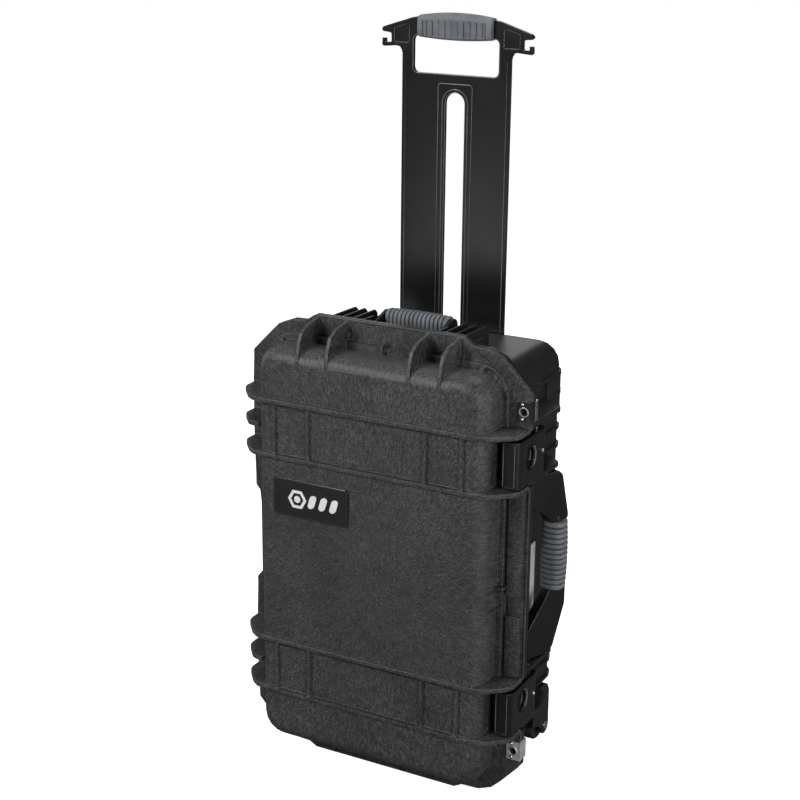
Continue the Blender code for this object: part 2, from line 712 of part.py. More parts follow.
def wing_outline():
    """The pull handle's outline in X and Z: a flat shaft that widens into two hooked wings."""
    right = [
        (PLATE_HALF_X, PLATE_FOOT_Z),
        (PLATE_HALF_X, 0.8425),
        (0.0730, 0.8470),
        (0.0775, 0.8480),
        (0.0950, 0.8465),
        (0.0970, 0.8485),
        (0.0965, 0.8560),
        (0.0925, 0.8560),
        (0.0925, 0.8515),
        (0.0855, 0.8515),
        (0.0845, 0.8525),
        (0.0845, 0.8610),
        (0.0860, 0.8625),
        (0.0955, 0.8635),
        (0.0975, 0.8660),
        (0.0955, 0.8690),
        (0.0560, 0.8815),
        (0.0470, 0.8830),
        (0.0240, 0.8850),
    ]
    return right + mirrored(right)


def make_pull_handle():
    low, high = PLATE_Y
    slot = [(-SLOT_HALF_X, 0.4020), (SLOT_HALF_X, 0.4020)]
    slot += [(SLOT_HALF_X * math.cos(a), 0.7856 + SLOT_HALF_X * math.sin(a)) for a in half_turn()]
    hand = rounded(rectangle(-0.055, 0.819, 0.055, 0.8615), 0.006, 3)
    slot_cut = prism("Y", slot, low - 0.01, high + 0.01)
    hand_cut = prism("Y", hand, low - 0.01, high + 0.01)
    edge = rounded(rectangle(0.0655, 0.300, 0.0900, 0.8405), 0.004, 2)
    wing = rounded([(0.0605, 0.8520), (0.0808, 0.8520), (0.0808, 0.8685), (0.0605, 0.8745)], 0.002, 2)
    middle = rounded(rectangle(-0.0220, 0.3900, 0.0220, 0.8080), 0.004, 2)
    sunk = []
    for outline in (edge, mirrored(edge), wing, mirrored(wing), middle):
        sunk.append(prism("Y", outline, low - 0.010, low + PLATE_SINK))
        sunk.append(prism("Y", outline, high - PLATE_SINK, high + 0.010))
    turns = half_turn()
    rim = [(-SLOT_RIM_X, 0.3950), (SLOT_RIM_X, 0.3950)]
    rim += [(SLOT_RIM_X * math.cos(a), 0.7856 + SLOT_RIM_X * math.sin(a)) for a in turns]
    raised = prism("Y", rim, low + 0.0004, high - 0.0004)
    pivot = (0.0, (low + high) / 2, PLATE_FOOT_Z)
    part(
        "pull_handle_plate",
        "black",
        prism("Y", wing_outline(), low, high),
        [("DIFFERENCE", sunk), ("UNION", [raised]), ("DIFFERENCE", [slot_cut, hand_cut])],
        pivot=pivot,
    )
    mid = (low + high) / 2
    rings = []
    for k in range(9):
        x = -0.0475 + 0.095 * k / 8
        bow = 1 - (x / 0.0475) ** 2
        top = 0.8845 + 0.0040 * bow
        bottom = 0.8600 - 0.0025 * bow
        rings.append((x, rounded(rectangle(mid - 0.0095, bottom, mid + 0.0095, top), 0.0060, 3)))
    bar = prism("X", rectangle(mid - 0.0038, 0.8612, mid + 0.0038, 0.8862), -0.0600, 0.0600)
    part("pull_handle_grip", "grip", loft("X", rings), [("DIFFERENCE", [bar])], pivot=(0.0, mid, 0.873))


def screw_spots():
    """(x, z) of the screws that hold the pull handle's rails and bridge."""
    return [(sign * 0.0800, z) for sign in (1, -1) for z in (0.0900, 0.4300, 0.4870)]


def screw_holes():
    return [rod("Y", spot, 0.0017, 0.106, 0.140, 12) for spot in screw_spots()]


def make_guides():
    lip = [(0.0600, 0.1096), (0.0721, 0.1096), (0.0721, 0.1163), (0.0865, 0.1163), (0.0865, 0.1200), (0.0600, 0.1200)]
    holes = [rod("Y", spot, 0.0017, 0.100, 0.140, 12) for spot in screw_spots()]
    for sign, word in ((1, "right"), (-1, "left")):
        outline = lip if sign > 0 else mirrored(lip)
        part(
            f"guide_rail_{word}",
            "black",
            prism("Z", outline, 0.0620, 0.4640),
            [("DIFFERENCE", holes)],
            pivot=(sign * 0.0732, 0.1163, 0.263),
        )
    bridge = [(-0.0721, 0.1096), (0.0721, 0.1096), (0.0721, 0.1163), (0.0865, 0.1163), (0.0865, 0.1200)]
    bridge += [(-0.0865, 0.1200), (-0.0865, 0.1163), (-0.0721, 0.1163)]
    part(
        "guide_bridge",
        "black",
        prism("Z", bridge, 0.4645, 0.5100),
        [("DIFFERENCE", holes + [box((-0.0600, 0.1145, 0.4700), (0.0600, 0.1300, 0.5045))])],
        pivot=(0.0, 0.1163, 0.4872),
    )
    for (x, z), word in zip(screw_spots(), ("ra", "rb", "rc", "la", "lb", "lc")):
        profile = [(0.0015, 0.1118), (0.0015, 0.1203), (0.0030, 0.1203), (0.0030, 0.1212), (0.0020, 0.1222)]
        part(f"guide_screw_{word}", "steel", turned("Y", (x, z), profile, 12), pivot=(x, 0.1203, z))
    block = rounded(rectangle(-0.0108, 0.4060, 0.0108, 0.4560), 0.004, 3)
    head = rounded(rectangle(-0.0180, 0.4000, 0.0180, 0.4600), 0.004, 3)
    part(
        "slot_stop",
        "black",
        prism("Y", block, 0.1018, 0.1130),
        [("UNION", [prism("Y", head, 0.1113, 0.1150)])],
        pivot=(0.0, 0.1018, 0.431),
    )


def make_wheels():
    for sign, word in ((1, "right"), (-1, "left")):
        x = sign * WHEEL_X
        centre = (WHEEL_Y, WHEEL_Z)
        pivot = (x, *centre)
        cheek = [(0.0534, 0.0876), (0.0880, 0.0876), (0.0960, 0.0830), (0.1010, 0.0740), (0.1015, 0.0400)]
        cheek += [(0.0910 + 0.0110 * math.cos(-a), 0.0280 + 0.0110 * math.sin(-a)) for a in half_turn(6)]
        cheek += [(0.0700, 0.0360), (0.0534, 0.0400)]
        outer = prism("X", cheek, *sorted((sign * 0.1416, sign * 0.1490)))
        inner = prism("X", cheek, *sorted((sign * 0.1104, sign * 0.1180)))
        low, high = sorted((sign * 0.1110, sign * 0.1480))
        roof = box((low, 0.0534, 0.0560), (high, 0.0950, 0.0800))
        front = box((low, 0.0534, 0.0420), (high, 0.0600, 0.0700))
        bore = rod("X", centre, AXLE_R + FIT, -0.2, 0.2, 20)
        part(
            f"wheel_bracket_{word}",
            "black",
            outer,
            [("UNION", [inner, roof, front]), ("DIFFERENCE", [bore])],
            pivot=pivot,
        )
        profile = [(AXLE_R, 0.1120), (AXLE_R, 0.1494), (0.0052, 0.1494), (0.0052, 0.1502), (0.0030, 0.1509)]
        profile = [(r, sign * level) for r, level in profile]
        part(f"axle_{word}", "steel", turned("X", centre, profile, 20), pivot=pivot)
        inside = [(AXLE_R + FIT, -0.0108), (0.0070, -0.0108), (0.0070, -0.0060), (0.0130, -0.0060)]
        inside += [(0.0130, -0.0090), (0.0150, -0.0090), (0.0150, 0.0090), (0.0130, 0.0090)]
        inside += [(0.0130, 0.0060), (0.0070, 0.0060), (0.0070, 0.0108), (AXLE_R + FIT, 0.0108)]
        shape = tube("X", centre, [(r, x + level) for r, level in inside], 20)
        part(f"wheel_hub_{word}", "grip", shape, pivot=pivot)
        tread = [(0.0153, -0.0100), (0.0190, -0.0100), (WHEEL_R, -0.0080), (WHEEL_R, 0.0080), (0.0190, 0.0100)]
        tread.append((0.0153, 0.0100))
        part(f"tyre_{word}", "rubber", tube("X", centre, [(r, x + level) for r, level in tread], 28), pivot=pivot)


def make_foam():
    half_x, half_z = 0.129, 0.227
    columns, rows = 12, 20
    points, faces = [], []
    for j in range(rows + 1):
        for i in range(columns + 1):
            peak = 0.010 if (i + j) % 2 else -0.010
            if i in (0, columns) or j in (0, rows):
                peak = 0.0
            x = -half_x + 2 * half_x * i / columns
            z = MID_Z - half_z + 2 * half_z * j / rows
            points.append(Vector((x, -0.0630 + peak, z)))
    width = columns + 1
    for j in range(rows):
        for i in range(columns):
            a = j * width + i
            middle = (points[a] + points[a + width + 1]) / 2
            if (i + j) % 2:
                faces += [(a, a + 1, a + width), (a + 1, a + width + 1, a + width)]
            else:
                faces += [(a, a + 1, a + width + 1), (a, a + width + 1, a + width)]
    rim = [i for i in range(width)] + [j * width + columns for j in range(1, rows + 1)]
    rim += [rows * width + i for i in range(columns - 1, -1, -1)] + [j * width for j in range(rows - 1, 0, -1)]
    first = len(points)
    points += [Vector((points[k].x, -0.0960, points[k].z)) for k in rim]
    for k in range(len(rim)):
        after = (k + 1) % len(rim)
        faces.append((rim[k], rim[after], first + after, first + k))
    faces.append(tuple(range(first, first + len(rim))))
    part("lid_foam", "foam", (points, faces), pivot=(HINGE_X, HINGE_Y, MID_Z))

    part(
        "divider_frame",
        "foam",
        ring_prism(
            "Y",
            frame_outline(0.1398, 0.2368, 0.0240),
            frame_outline(DIVIDER_HALF_X, DIVIDER_HALF_Z, 0.0060),
            *DIVIDER_Y,
        ),
        [("DIFFERENCE", wheel_boxes(0.1032, 0.0470, 0.0932))],
        pivot=(0.0, DIVIDER_Y[1], MID_Z),
    )
    for name, low, high in dividers():
        middle = (low + high) / 2
        part(name, "foam", box(low, high), pivot=(middle.x, DIVIDER_Y[1], middle.z))

    corners = [(-0.1020, 0.0410), (0.1020, 0.0410), (0.1020, 0.0940), (0.1380, 0.0940), (0.1380, 0.5140)]
    corners += [(-0.1380, 0.5140), (-0.1380, 0.0940), (-0.1020, 0.0940)]
    pad = rounded(corners, [0.004, 0.004, 0, 0.004, 0.020, 0.020, 0.004, 0], 3)
    part("base_foam_pad", "foam", prism("Y", pad, 0.0835, 0.0962), pivot=(0.0, 0.0962, MID_Z))


def dividers():
    """Name and two corners of each padded divider: a long upright one, and three across."""
    end_x, end_z = DIVIDER_HALF_X - 0.0003, DIVIDER_HALF_Z - 0.0003
    left, right = LONG_DIVIDER_X - DIVIDER_HALF, LONG_DIVIDER_X + DIVIDER_HALF
    spans = [("divider_long", left, right, MID_Z - end_z, MID_Z + end_z)]
    for name, z in (("divider_left_lower", 0.2150), ("divider_left_upper", 0.3750)):
        spans.append((name, -end_x, left - 0.0003, z - DIVIDER_HALF, z + DIVIDER_HALF))
    spans.append(("divider_right", right + 0.0003, end_x, 0.3000 - DIVIDER_HALF, 0.3000 + DIVIDER_HALF))
    front, back = DIVIDER_Y
    return [(name, Vector((x0, front, z0)), Vector((x1, back, z1))) for name, x0, x1, z0, z1 in spans]


def make_trim():
    badge = rounded(rectangle(-0.1225, 0.3240, -0.0223, 0.3700), 0.004, 4)
    part("badge_plate", "badge", prism("Y", badge, -0.1028, -0.1013), pivot=(-0.0724, -0.1013, 0.347))
    label = rounded(rectangle(0.0130, 0.1810, 0.0450, 0.2920), 0.0015, 3)
    part("side_label", "label", prism("X", label, 0.1474, 0.1479), pivot=(0.1474, 0.0265, 0.233))
    spot = (0.0, -0.010)
    stem = [(0.0058, 0.5174), (0.0058, 0.5223), (0.0105, 0.5223), (0.0105, 0.5243)]
    stem += [(0.0068, 0.5243), (0.0068, 0.5268)]
    part("valve_body", "black", turned("Z", spot, stem, 16), pivot=(*spot, 0.5223))
    lid = tube("Z", spot, [(0.0072, 0.5247), (0.0090, 0.5247), (0.0090, 0.5292), (0.0072, 0.5292)], 16)
    disc = turned("Z", spot, [(0.0086, 0.5272), (0.0086, 0.5290), (0.0070, 0.5302)], 16)
    part("valve_cap", "grip", lid, [("UNION", [disc])], pivot=(*spot, 0.5247))


clear_scene()
bpy.context.scene.unit_settings.system = "METRIC"
bpy.context.scene.unit_settings.scale_length = 1.0
helpers = bpy.data.collections.new("helpers")
helpers.hide_render = True
bpy.context.scene.collection.children.link(helpers)
make_base()
make_lid()
make_gasket()
make_hinge_pins()
make_latch(1, "upper")
make_latch(-1, "lower")
make_hasps()
make_side_handle()
make_top_handle()
make_pull_handle()
make_guides()
make_wheels()
make_foam()
make_trim()
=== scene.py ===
"""Looks of the hard equipment case: finishes for its CAD nodes, and finer grips, foam, tyres and trim."""

import math

import bmesh
import bpy
from mathutils import Matrix, Vector, noise


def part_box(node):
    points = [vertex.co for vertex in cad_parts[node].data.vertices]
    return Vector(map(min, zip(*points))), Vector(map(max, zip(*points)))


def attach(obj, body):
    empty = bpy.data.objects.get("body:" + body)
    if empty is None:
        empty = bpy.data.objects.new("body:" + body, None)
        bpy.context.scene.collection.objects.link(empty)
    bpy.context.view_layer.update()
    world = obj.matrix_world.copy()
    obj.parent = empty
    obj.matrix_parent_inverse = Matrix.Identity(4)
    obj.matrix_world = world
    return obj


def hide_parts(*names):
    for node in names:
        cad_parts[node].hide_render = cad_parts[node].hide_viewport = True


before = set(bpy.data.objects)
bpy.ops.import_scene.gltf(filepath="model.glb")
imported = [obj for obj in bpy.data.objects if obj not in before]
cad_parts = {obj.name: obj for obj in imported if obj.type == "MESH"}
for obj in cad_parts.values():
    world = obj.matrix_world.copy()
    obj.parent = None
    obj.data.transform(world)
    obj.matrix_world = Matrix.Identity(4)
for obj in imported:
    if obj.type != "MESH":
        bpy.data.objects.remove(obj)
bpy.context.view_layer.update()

# Camera: where it stands and how it is turned, in metres and degrees.
CAMERA_PLACE = (0.8787, -1.6515, 1.0456)
CAMERA_AZIMUTH = 28.7225
CAMERA_ELEVATION = 17.6796
CAMERA_ROLL = 0.5331
CAMERA_LENS = 75.51
CAMERA_SHIFT = (0.00474, 0.00327)

# Softening of the CAD nodes' edges.
WELD = 0.00001
SHARP = math.radians(32)

# Where the plastic was let into the lid's mould, in the middle of its front.
GATE = (-0.0025, -0.1094, 0.2752)

# Streaks in the lid's plastic: to a radian round the gate, to a metre away from it, and to a metre of depth.
STREAKS_ROUND = 165.0
STREAKS_OUTWARD = 140.0
STREAKS_INWARD = 260.0

# Faces of a built piece that meet at less than this are shaded as one surface.
SMOOTH_BELOW = math.radians(40)

# A squircle of this power is a circle.
ROUND = 2.0

# One ring of a ringed grip: places along it, and the share of the groove's depth at each. The groove lies
# across the ring's start, where painted shade, the darker groove rubber, runs between the two shares of
# GROOVE_SHADE.
RING_PROFILE = ((0.03, 1.0), (0.11, 0.94), (0.17, 0.20), (0.32, 0.0), (0.68, 0.0), (0.83, 0.20), (0.89, 0.94))
GROOVE_END = 0.17
GROOVE_DEPTH = 0.0016
GROOVE_SHADE = (0.14, 0.90)
GRIP_END = 0.012
GRIP_EASE = 0.0004
GRIP_SEGMENTS = 56

# Foam cut in blocks: its mesh, how often that is smoothed, and how far its skin is drawn in.
FOAM_CELL = 0.0025
FOAM_PASSES = 4
FOAM_DRAW = 0.0002
FOAM_BUMPS = 38.0

# A padded panel: its clear space, rounded rim, seam and fullness.
PANEL_CLEAR = 0.0002
PANEL_EDGE = 0.0030
PANEL_STEP = 0.0030
SEAM_PLACE = 0.0075
SEAM_WIDTH = 0.0011
SEAM_DEPTH = 0.0011
PANEL_FULL = 0.0006
PANEL_FULL_REACH = 0.012
PANEL_UNEVEN = 0.0003
PANEL_BUMPS = 45.0
RIM_SHARE = 0.40

# Lips and prints: sides of a lip's section, its narrowing at an open end, and how far prints stand off.
LIP_SIDES = 8
LIP_TAPER = 0.3
PRINT_GAP = 0.00001
PRINT_TOP = 0.00006
MARK_GAP = 0.00002
MARK_TOP = 0.0002


# ---------------------------------------------------------------- nodes of a material


def add(tree, kind, inputs=None, **settings):
    """A new node with its properties and its unlinked inputs set."""
    made = tree.nodes.new(kind)
    for name, value in settings.items():
        setattr(made, name, value)
    for name, value in (inputs or {}).items():
        made.inputs[name].default_value = value
    return made


def new_finish(name, colour, roughness, **sockets):
    """A material with its Principled shader's constant values set on the shader itself."""
    made = bpy.data.materials.new(name)
    made.use_nodes = True
    made.diffuse_color = (*colour, 1.0)
    shader = made.node_tree.nodes["Principled BSDF"]
    shader.inputs["Base Color"].default_value = (*colour, 1.0)
    shader.inputs["Roughness"].default_value = roughness
    for socket, value in sockets.items():
        shader.inputs[socket.replace("_", " ")].default_value = value
    return made, made.node_tree, shader


def object_place(tree, stretch=(1.0, 1.0, 1.0)):
    """The point on the object, scaled along each axis."""
    place = add(tree, "ShaderNodeTexCoord")
    if stretch == (1.0, 1.0, 1.0):
        return place.outputs["Object"]
    scaled = add(tree, "ShaderNodeMapping", {"Scale": stretch})
    tree.links.new(place.outputs["Object"], scaled.inputs["Vector"])
    return scaled.outputs["Vector"]


def grain(tree, scale, detail=3.0, roughness=0.6, stretch=(1.0, 1.0, 1.0)):
    """Noise with about this many grains to a metre, from 0 to 1."""
    made = add(tree, "ShaderNodeTexNoise", {"Scale": scale, "Detail": detail, "Roughness": roughness})
    tree.links.new(object_place(tree, stretch), made.inputs["Vector"])
    return made.outputs["Fac"]


def spread(tree, source, low, high, from_low=0.3, from_high=0.7):
    """The source's usual range mapped to low and high."""
    made = add(
        tree,
        "ShaderNodeMapRange",
        {"From Min": from_low, "From Max": from_high, "To Min": low, "To Max": high},
    )
    tree.links.new(source, made.inputs["Value"])
    return made.outputs["Result"]


def blend_values(tree, first, second, share):
    """first and second mixed, with this share of the second."""
    made = add(tree, "ShaderNodeMix", {"Factor": share})
    tree.links.new(first, made.inputs["A"])
    tree.links.new(second, made.inputs["B"])
    return made.outputs["Result"]


def shades(tree, source, stops):
    """Colours along a ramp, from (place, colour) pairs."""
    made = add(tree, "ShaderNodeValToRGB")
    ramp = made.color_ramp
    while len(ramp.elements) < len(stops):
        ramp.elements.new(0.5)
    for element, (place, colour) in zip(ramp.elements, stops):
        element.position = place
        element.color = (*colour, 1.0)
    tree.links.new(source, made.inputs["Fac"])
    return made.outputs["Color"]


def tint(tree, colour, source, low, high):
    """A colour made darker and lighter by a source that runs from 0 to 1."""
    amount = spread(tree, source, low, high)
    made = add(tree, "ShaderNodeVectorMath", operation="SCALE")
    tree.links.new(colour, made.inputs[0])
    tree.links.new(amount, made.inputs["Scale"])
    return made.outputs["Vector"]


def raise_surface(tree, shader, layers):
    """Bump from (height, depth in metres) layers, the coarse one first."""
    normal = None
    for height, depth in layers:
        made = add(tree, "ShaderNodeBump", {"Strength": 1.0, "Distance": depth})
        tree.links.new(height, made.inputs["Height"])
        if normal is not None:
            tree.links.new(normal, made.inputs["Normal"])
        normal = made.outputs["Normal"]
    tree.links.new(normal, shader.inputs["Normal"])


def flow_lines(tree):
    """Fine streaks that fan out from the mould's gate, as the plastic ran."""
    place = add(tree, "ShaderNodeTexCoord")
    from_gate = add(tree, "ShaderNodeVectorMath", {1: GATE}, operation="SUBTRACT")
    tree.links.new(place.outputs["Object"], from_gate.inputs[0])
    flat = add(tree, "ShaderNodeVectorMath", {1: (1.0, 0.0, 1.0)}, operation="MULTIPLY")
    tree.links.new(from_gate.outputs["Vector"], flat.inputs[0])
    heading = add(tree, "ShaderNodeVectorMath", operation="NORMALIZE")
    tree.links.new(flat.outputs["Vector"], heading.inputs[0])
    reach = add(tree, "ShaderNodeVectorMath", operation="LENGTH")
    tree.links.new(flat.outputs["Vector"], reach.inputs[0])
    fan = add(tree, "ShaderNodeVectorMath", {"Scale": STREAKS_ROUND}, operation="SCALE")
    tree.links.new(heading.outputs["Vector"], fan.inputs[0])
    along = add(tree, "ShaderNodeMath", {1: STREAKS_OUTWARD}, operation="MULTIPLY")
    tree.links.new(reach.outputs["Value"], along.inputs[0])
    shift = add(tree, "ShaderNodeCombineXYZ")
    tree.links.new(along.outputs["Value"], shift.inputs["Y"])
    depth = add(tree, "ShaderNodeSeparateXYZ")
    tree.links.new(place.outputs["Object"], depth.inputs["Vector"])
    inward = add(tree, "ShaderNodeMath", {1: STREAKS_INWARD}, operation="MULTIPLY")
    tree.links.new(depth.outputs["Y"], inward.inputs[0])
    tree.links.new(inward.outputs["Value"], shift.inputs["Z"])
    total = add(tree, "ShaderNodeVectorMath", operation="ADD")
    tree.links.new(fan.outputs["Vector"], total.inputs[0])
    tree.links.new(shift.outputs["Vector"], total.inputs[1])
    lines = add(tree, "ShaderNodeTexNoise", {"Scale": 1.0, "Detail": 2.0, "Roughness": 0.6})
    tree.links.new(total.outputs["Vector"], lines.inputs["Vector"])
    return lines.outputs["Fac"]


# ---------------------------------------------------------------- finishes


def lid_plastic():
    """Charcoal plastic with a fine speckle and the mould's streaks."""
    made, tree, shader = new_finish("lid_charcoal", (0.05, 0.05, 0.051), 0.52, Specular_IOR_Level=0.5)
    speckle = grain(tree, 900, detail=3.0, roughness=0.7)
    lines = flow_lines(tree)
    mottle = blend_values(tree, speckle, lines, share=0.38)
    stops = [(0.41, (0.008, 0.008, 0.0083)), (0.50, (0.033, 0.033, 0.0335)), (0.60, (0.100, 0.100, 0.100))]
    cloud = grain(tree, 14, detail=2.0)
    tree.links.new(tint(tree, shades(tree, mottle, stops), cloud, 0.80, 1.20), shader.inputs["Base Color"])
    tree.links.new(spread(tree, mottle, 0.42, 0.60), shader.inputs["Roughness"])
    raise_surface(tree, shader, [(lines, 0.00006), (speckle, 0.00018)])
    return made


def black_shell():
    """The base's black plastic, with a fine speckle."""
    made, tree, shader = new_finish("base_black", (0.007, 0.007, 0.0073), 0.42, Specular_IOR_Level=0.5)
    speckle = grain(tree, 900, detail=4.0, roughness=0.65)
    cloud = grain(tree, 18, detail=2.0)
    stops = [
        (0.34, (0.0024, 0.0024, 0.0025)),
        (0.52, (0.0062, 0.0062, 0.0064)),
        (0.68, (0.015, 0.015, 0.0153)),
    ]
    tree.links.new(tint(tree, shades(tree, speckle, stops), cloud, 0.85, 1.15), shader.inputs["Base Color"])
    tree.links.new(spread(tree, speckle, 0.34, 0.48), shader.inputs["Roughness"])
    raise_surface(tree, shader, [(speckle, 0.00010)])
    return made


def satin_black(name, tone, low, high, depth):
    """Smooth black plastic, with faint cloudiness and a fine orange peel; in a grey tone it also gives the
    painted highlights of lips and edges.
    """
    made, tree, shader = new_finish(name, (tone, tone, tone * 1.04), (low + high) / 2, Specular_IOR_Level=0.5)
    peel = grain(tree, 620, detail=2.0, roughness=0.5)
    cloud = grain(tree, 26)
    dark = (tone * 0.88, tone * 0.88, tone * 0.92)
    light = (tone * 1.12, tone * 1.12, tone * 1.16)
    tree.links.new(shades(tree, cloud, [(0.35, dark), (0.65, light)]), shader.inputs["Base Color"])
    tree.links.new(spread(tree, cloud, low, high), shader.inputs["Roughness"])
    raise_surface(tree, shader, [(peel, depth)])
    return made


def steel(name, tone, low, high, stretch):
    """Bright metal with a fine grain along it, and faint stains."""
    made, tree, shader = new_finish(name, (tone, tone, tone * 1.02), (low + high) / 2, Metallic=1.0)
    brushed = grain(tree, 1.0, stretch=stretch)
    stain = grain(tree, 160)
    dark = (tone * 0.82, tone * 0.82, tone * 0.83)
    light = (min(tone * 1.12, 1.0), min(tone * 1.12, 1.0), min(tone * 1.14, 1.0))
    tree.links.new(shades(tree, stain, [(0.35, dark), (0.65, light)]), shader.inputs["Base Color"])
    tree.links.new(spread(tree, brushed, low, high), shader.inputs["Roughness"])
    raise_surface(tree, shader, [(brushed, 0.00003)])
    return made


def grip_rubber():
    """Slate grey rubber, lighter where hands have worn it."""
    made, tree, shader = new_finish("slate_grip", (0.150, 0.162, 0.178), 0.56, Specular_IOR_Level=0.4)
    fine = grain(tree, 1500, roughness=0.7)
    worn = grain(tree, 60, detail=4.0)
    stops = [(0.34, (0.100, 0.109, 0.121)), (0.52, (0.150, 0.162, 0.178)), (0.68, (0.215, 0.230, 0.250))]
    colour = shades(tree, blend_values(tree, worn, fine, share=0.45), stops)
    tree.links.new(colour, shader.inputs["Base Color"])
    tree.links.new(spread(tree, worn, 0.46, 0.66), shader.inputs["Roughness"])
    raise_surface(tree, shader, [(fine, 0.00006)])
    return made


def soft_rubber(name, tone, scale, depth):
    """Dull rubber with a fine grain."""
    made, tree, shader = new_finish(name, (tone, tone, tone), 0.8, Specular_IOR_Level=0.3)
    fine = grain(tree, scale, detail=4.0, roughness=0.7)
    dark = (tone * 0.6, tone * 0.6, tone * 0.6)
    light = (tone * 1.6, tone * 1.58, tone * 1.55)
    tree.links.new(shades(tree, fine, [(0.35, dark), (0.65, light)]), shader.inputs["Base Color"])
    tree.links.new(spread(tree, fine, 0.70, 0.90), shader.inputs["Roughness"])
    raise_surface(tree, shader, [(fine, depth)])
    return made


def open_cell_foam():
    """Charcoal foam with open pores."""
    made, tree, shader = new_finish("charcoal_foam", (0.030, 0.030, 0.033), 0.97, Specular_IOR_Level=0.1)
    shader.inputs["Sheen Weight"].default_value = 0.35
    shader.inputs["Sheen Roughness"].default_value = 0.6
    cells = add(tree, "ShaderNodeTexVoronoi", {"Scale": 620.0, "Randomness": 1.0})
    tree.links.new(object_place(tree), cells.inputs["Vector"])
    fine = grain(tree, 1900, roughness=0.75)
    walls = spread(tree, cells.outputs["Distance"], 1.0, 0.0, from_low=0.1, from_high=0.7)
    pores = blend_values(tree, walls, fine, share=0.4)
    stops = [(0.20, (0.007, 0.007, 0.008)), (0.50, (0.026, 0.026, 0.028)), (0.80, (0.060, 0.060, 0.064))]
    colour = tint(tree, shades(tree, pores, stops), grain(tree, 30, detail=2.0), 0.85, 1.15)
    tree.links.new(colour, shader.inputs["Base Color"])
    tree.links.new(spread(tree, fine, 0.90, 1.0), shader.inputs["Roughness"])
    raise_surface(tree, shader, [(pores, 0.0006)])
    return made


def film(name, tone, roughness, coat):
    """Printed or painted film, with slight unevenness."""
    made, tree, shader = new_finish(name, (tone, tone, tone), roughness, Coat_Weight=coat)
    shader.inputs["Coat Roughness"].default_value = 0.12
    cloud = grain(tree, 45)
    dark = (tone * 0.90, tone * 0.90, tone * 0.92)
    light = (min(tone * 1.06, 1.0),) * 3
    tree.links.new(shades(tree, cloud, [(0.35, dark), (0.65, light)]), shader.inputs["Base Color"])
    tree.links.new(spread(tree, cloud, roughness * 0.8, roughness * 1.2), shader.inputs["Roughness"])
    raise_surface(tree, shader, [(grain(tree, 800, detail=2.0), 0.00002)])
    return made


FINISH = {
    "lid": lid_plastic(),
    "base": black_shell(),
    "satin": satin_black("satin_black", 0.0034, 0.27, 0.31, 0.000006),
    "fittings": satin_black("fittings_black", 0.0034, 0.26, 0.34, 0.00002),
    "steel": steel("bright_steel", 0.66, 0.16, 0.30, (300, 300, 2500)),
    "dark_steel": steel("shaded_steel", 0.10, 0.14, 0.24, (300, 300, 2500)),
    "zinc": steel("zinc_plate", 0.84, 0.48, 0.62, (500, 500, 500)),
    "grip": grip_rubber(),
    # The groove finish is painted shade: darker rubber laid in the grips' grooves where their shadow falls.
    "groove": soft_rubber("groove_painted_shade", 0.034, 900, 0.00005),
    # The lip finish is a painted highlight: a grey that stands for light caught on the triggers' crescents
    # and the latches' front edges.
    "lip": satin_black("lip_painted_highlight", 0.14, 0.30, 0.40, 0.00001),
    # The edge finish is a painted highlight: a grey that stands for light caught on the edges of the pull
    # plate's panels, slot and hand hole.
    "edge": satin_black("edge_painted_highlight", 0.13, 0.24, 0.30, 0.000004),
    "seal": soft_rubber("seal_rubber", 0.012, 900, 0.00005),
    "tyre": soft_rubber("tread_rubber", 0.016, 700, 0.00012),
    "hub": satin_black("hub_grey", 0.040, 0.45, 0.60, 0.00004),
    "foam": open_cell_foam(),
    "label": film("label_film", 0.92, 0.42, 0.15),
    "print": film("black_print", 0.010, 0.45, 0.0),
    "plate": film("badge_black", 0.007, 0.16, 0.6),
    "emblem": film("emblem_white", 0.80, 0.35, 0.1),
}


# ---------------------------------------------------------------- CAD nodes that stay


def soften(obj, width, segments=2):
    """Rounds the node's sharp edges and evens its shading."""
    weld = obj.modifiers.new("weld", "WELD")
    weld.merge_threshold = WELD
    edge = obj.modifiers.new("rounded_edges", "BEVEL")
    edge.limit_method = "ANGLE"
    edge.angle_limit = SHARP
    edge.width = width
    edge.segments = segments
    edge.use_clamp_overlap = False
    shading = obj.modifiers.new("even_shading", "WEIGHTED_NORMAL")
    shading.mode = "FACE_AREA"
    shading.weight = 100


def finish_node(name, finish, width):
    """Gives a CAD node its finish and its softened edges."""
    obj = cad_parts[name]
    obj.data.materials.clear()
    obj.data.materials.append(FINISH[finish])
    if "custom_normal" in obj.data.attributes:
        obj.data.attributes.remove(obj.data.attributes["custom_normal"])
    obj.data.shade_smooth()
    soften(obj, width)


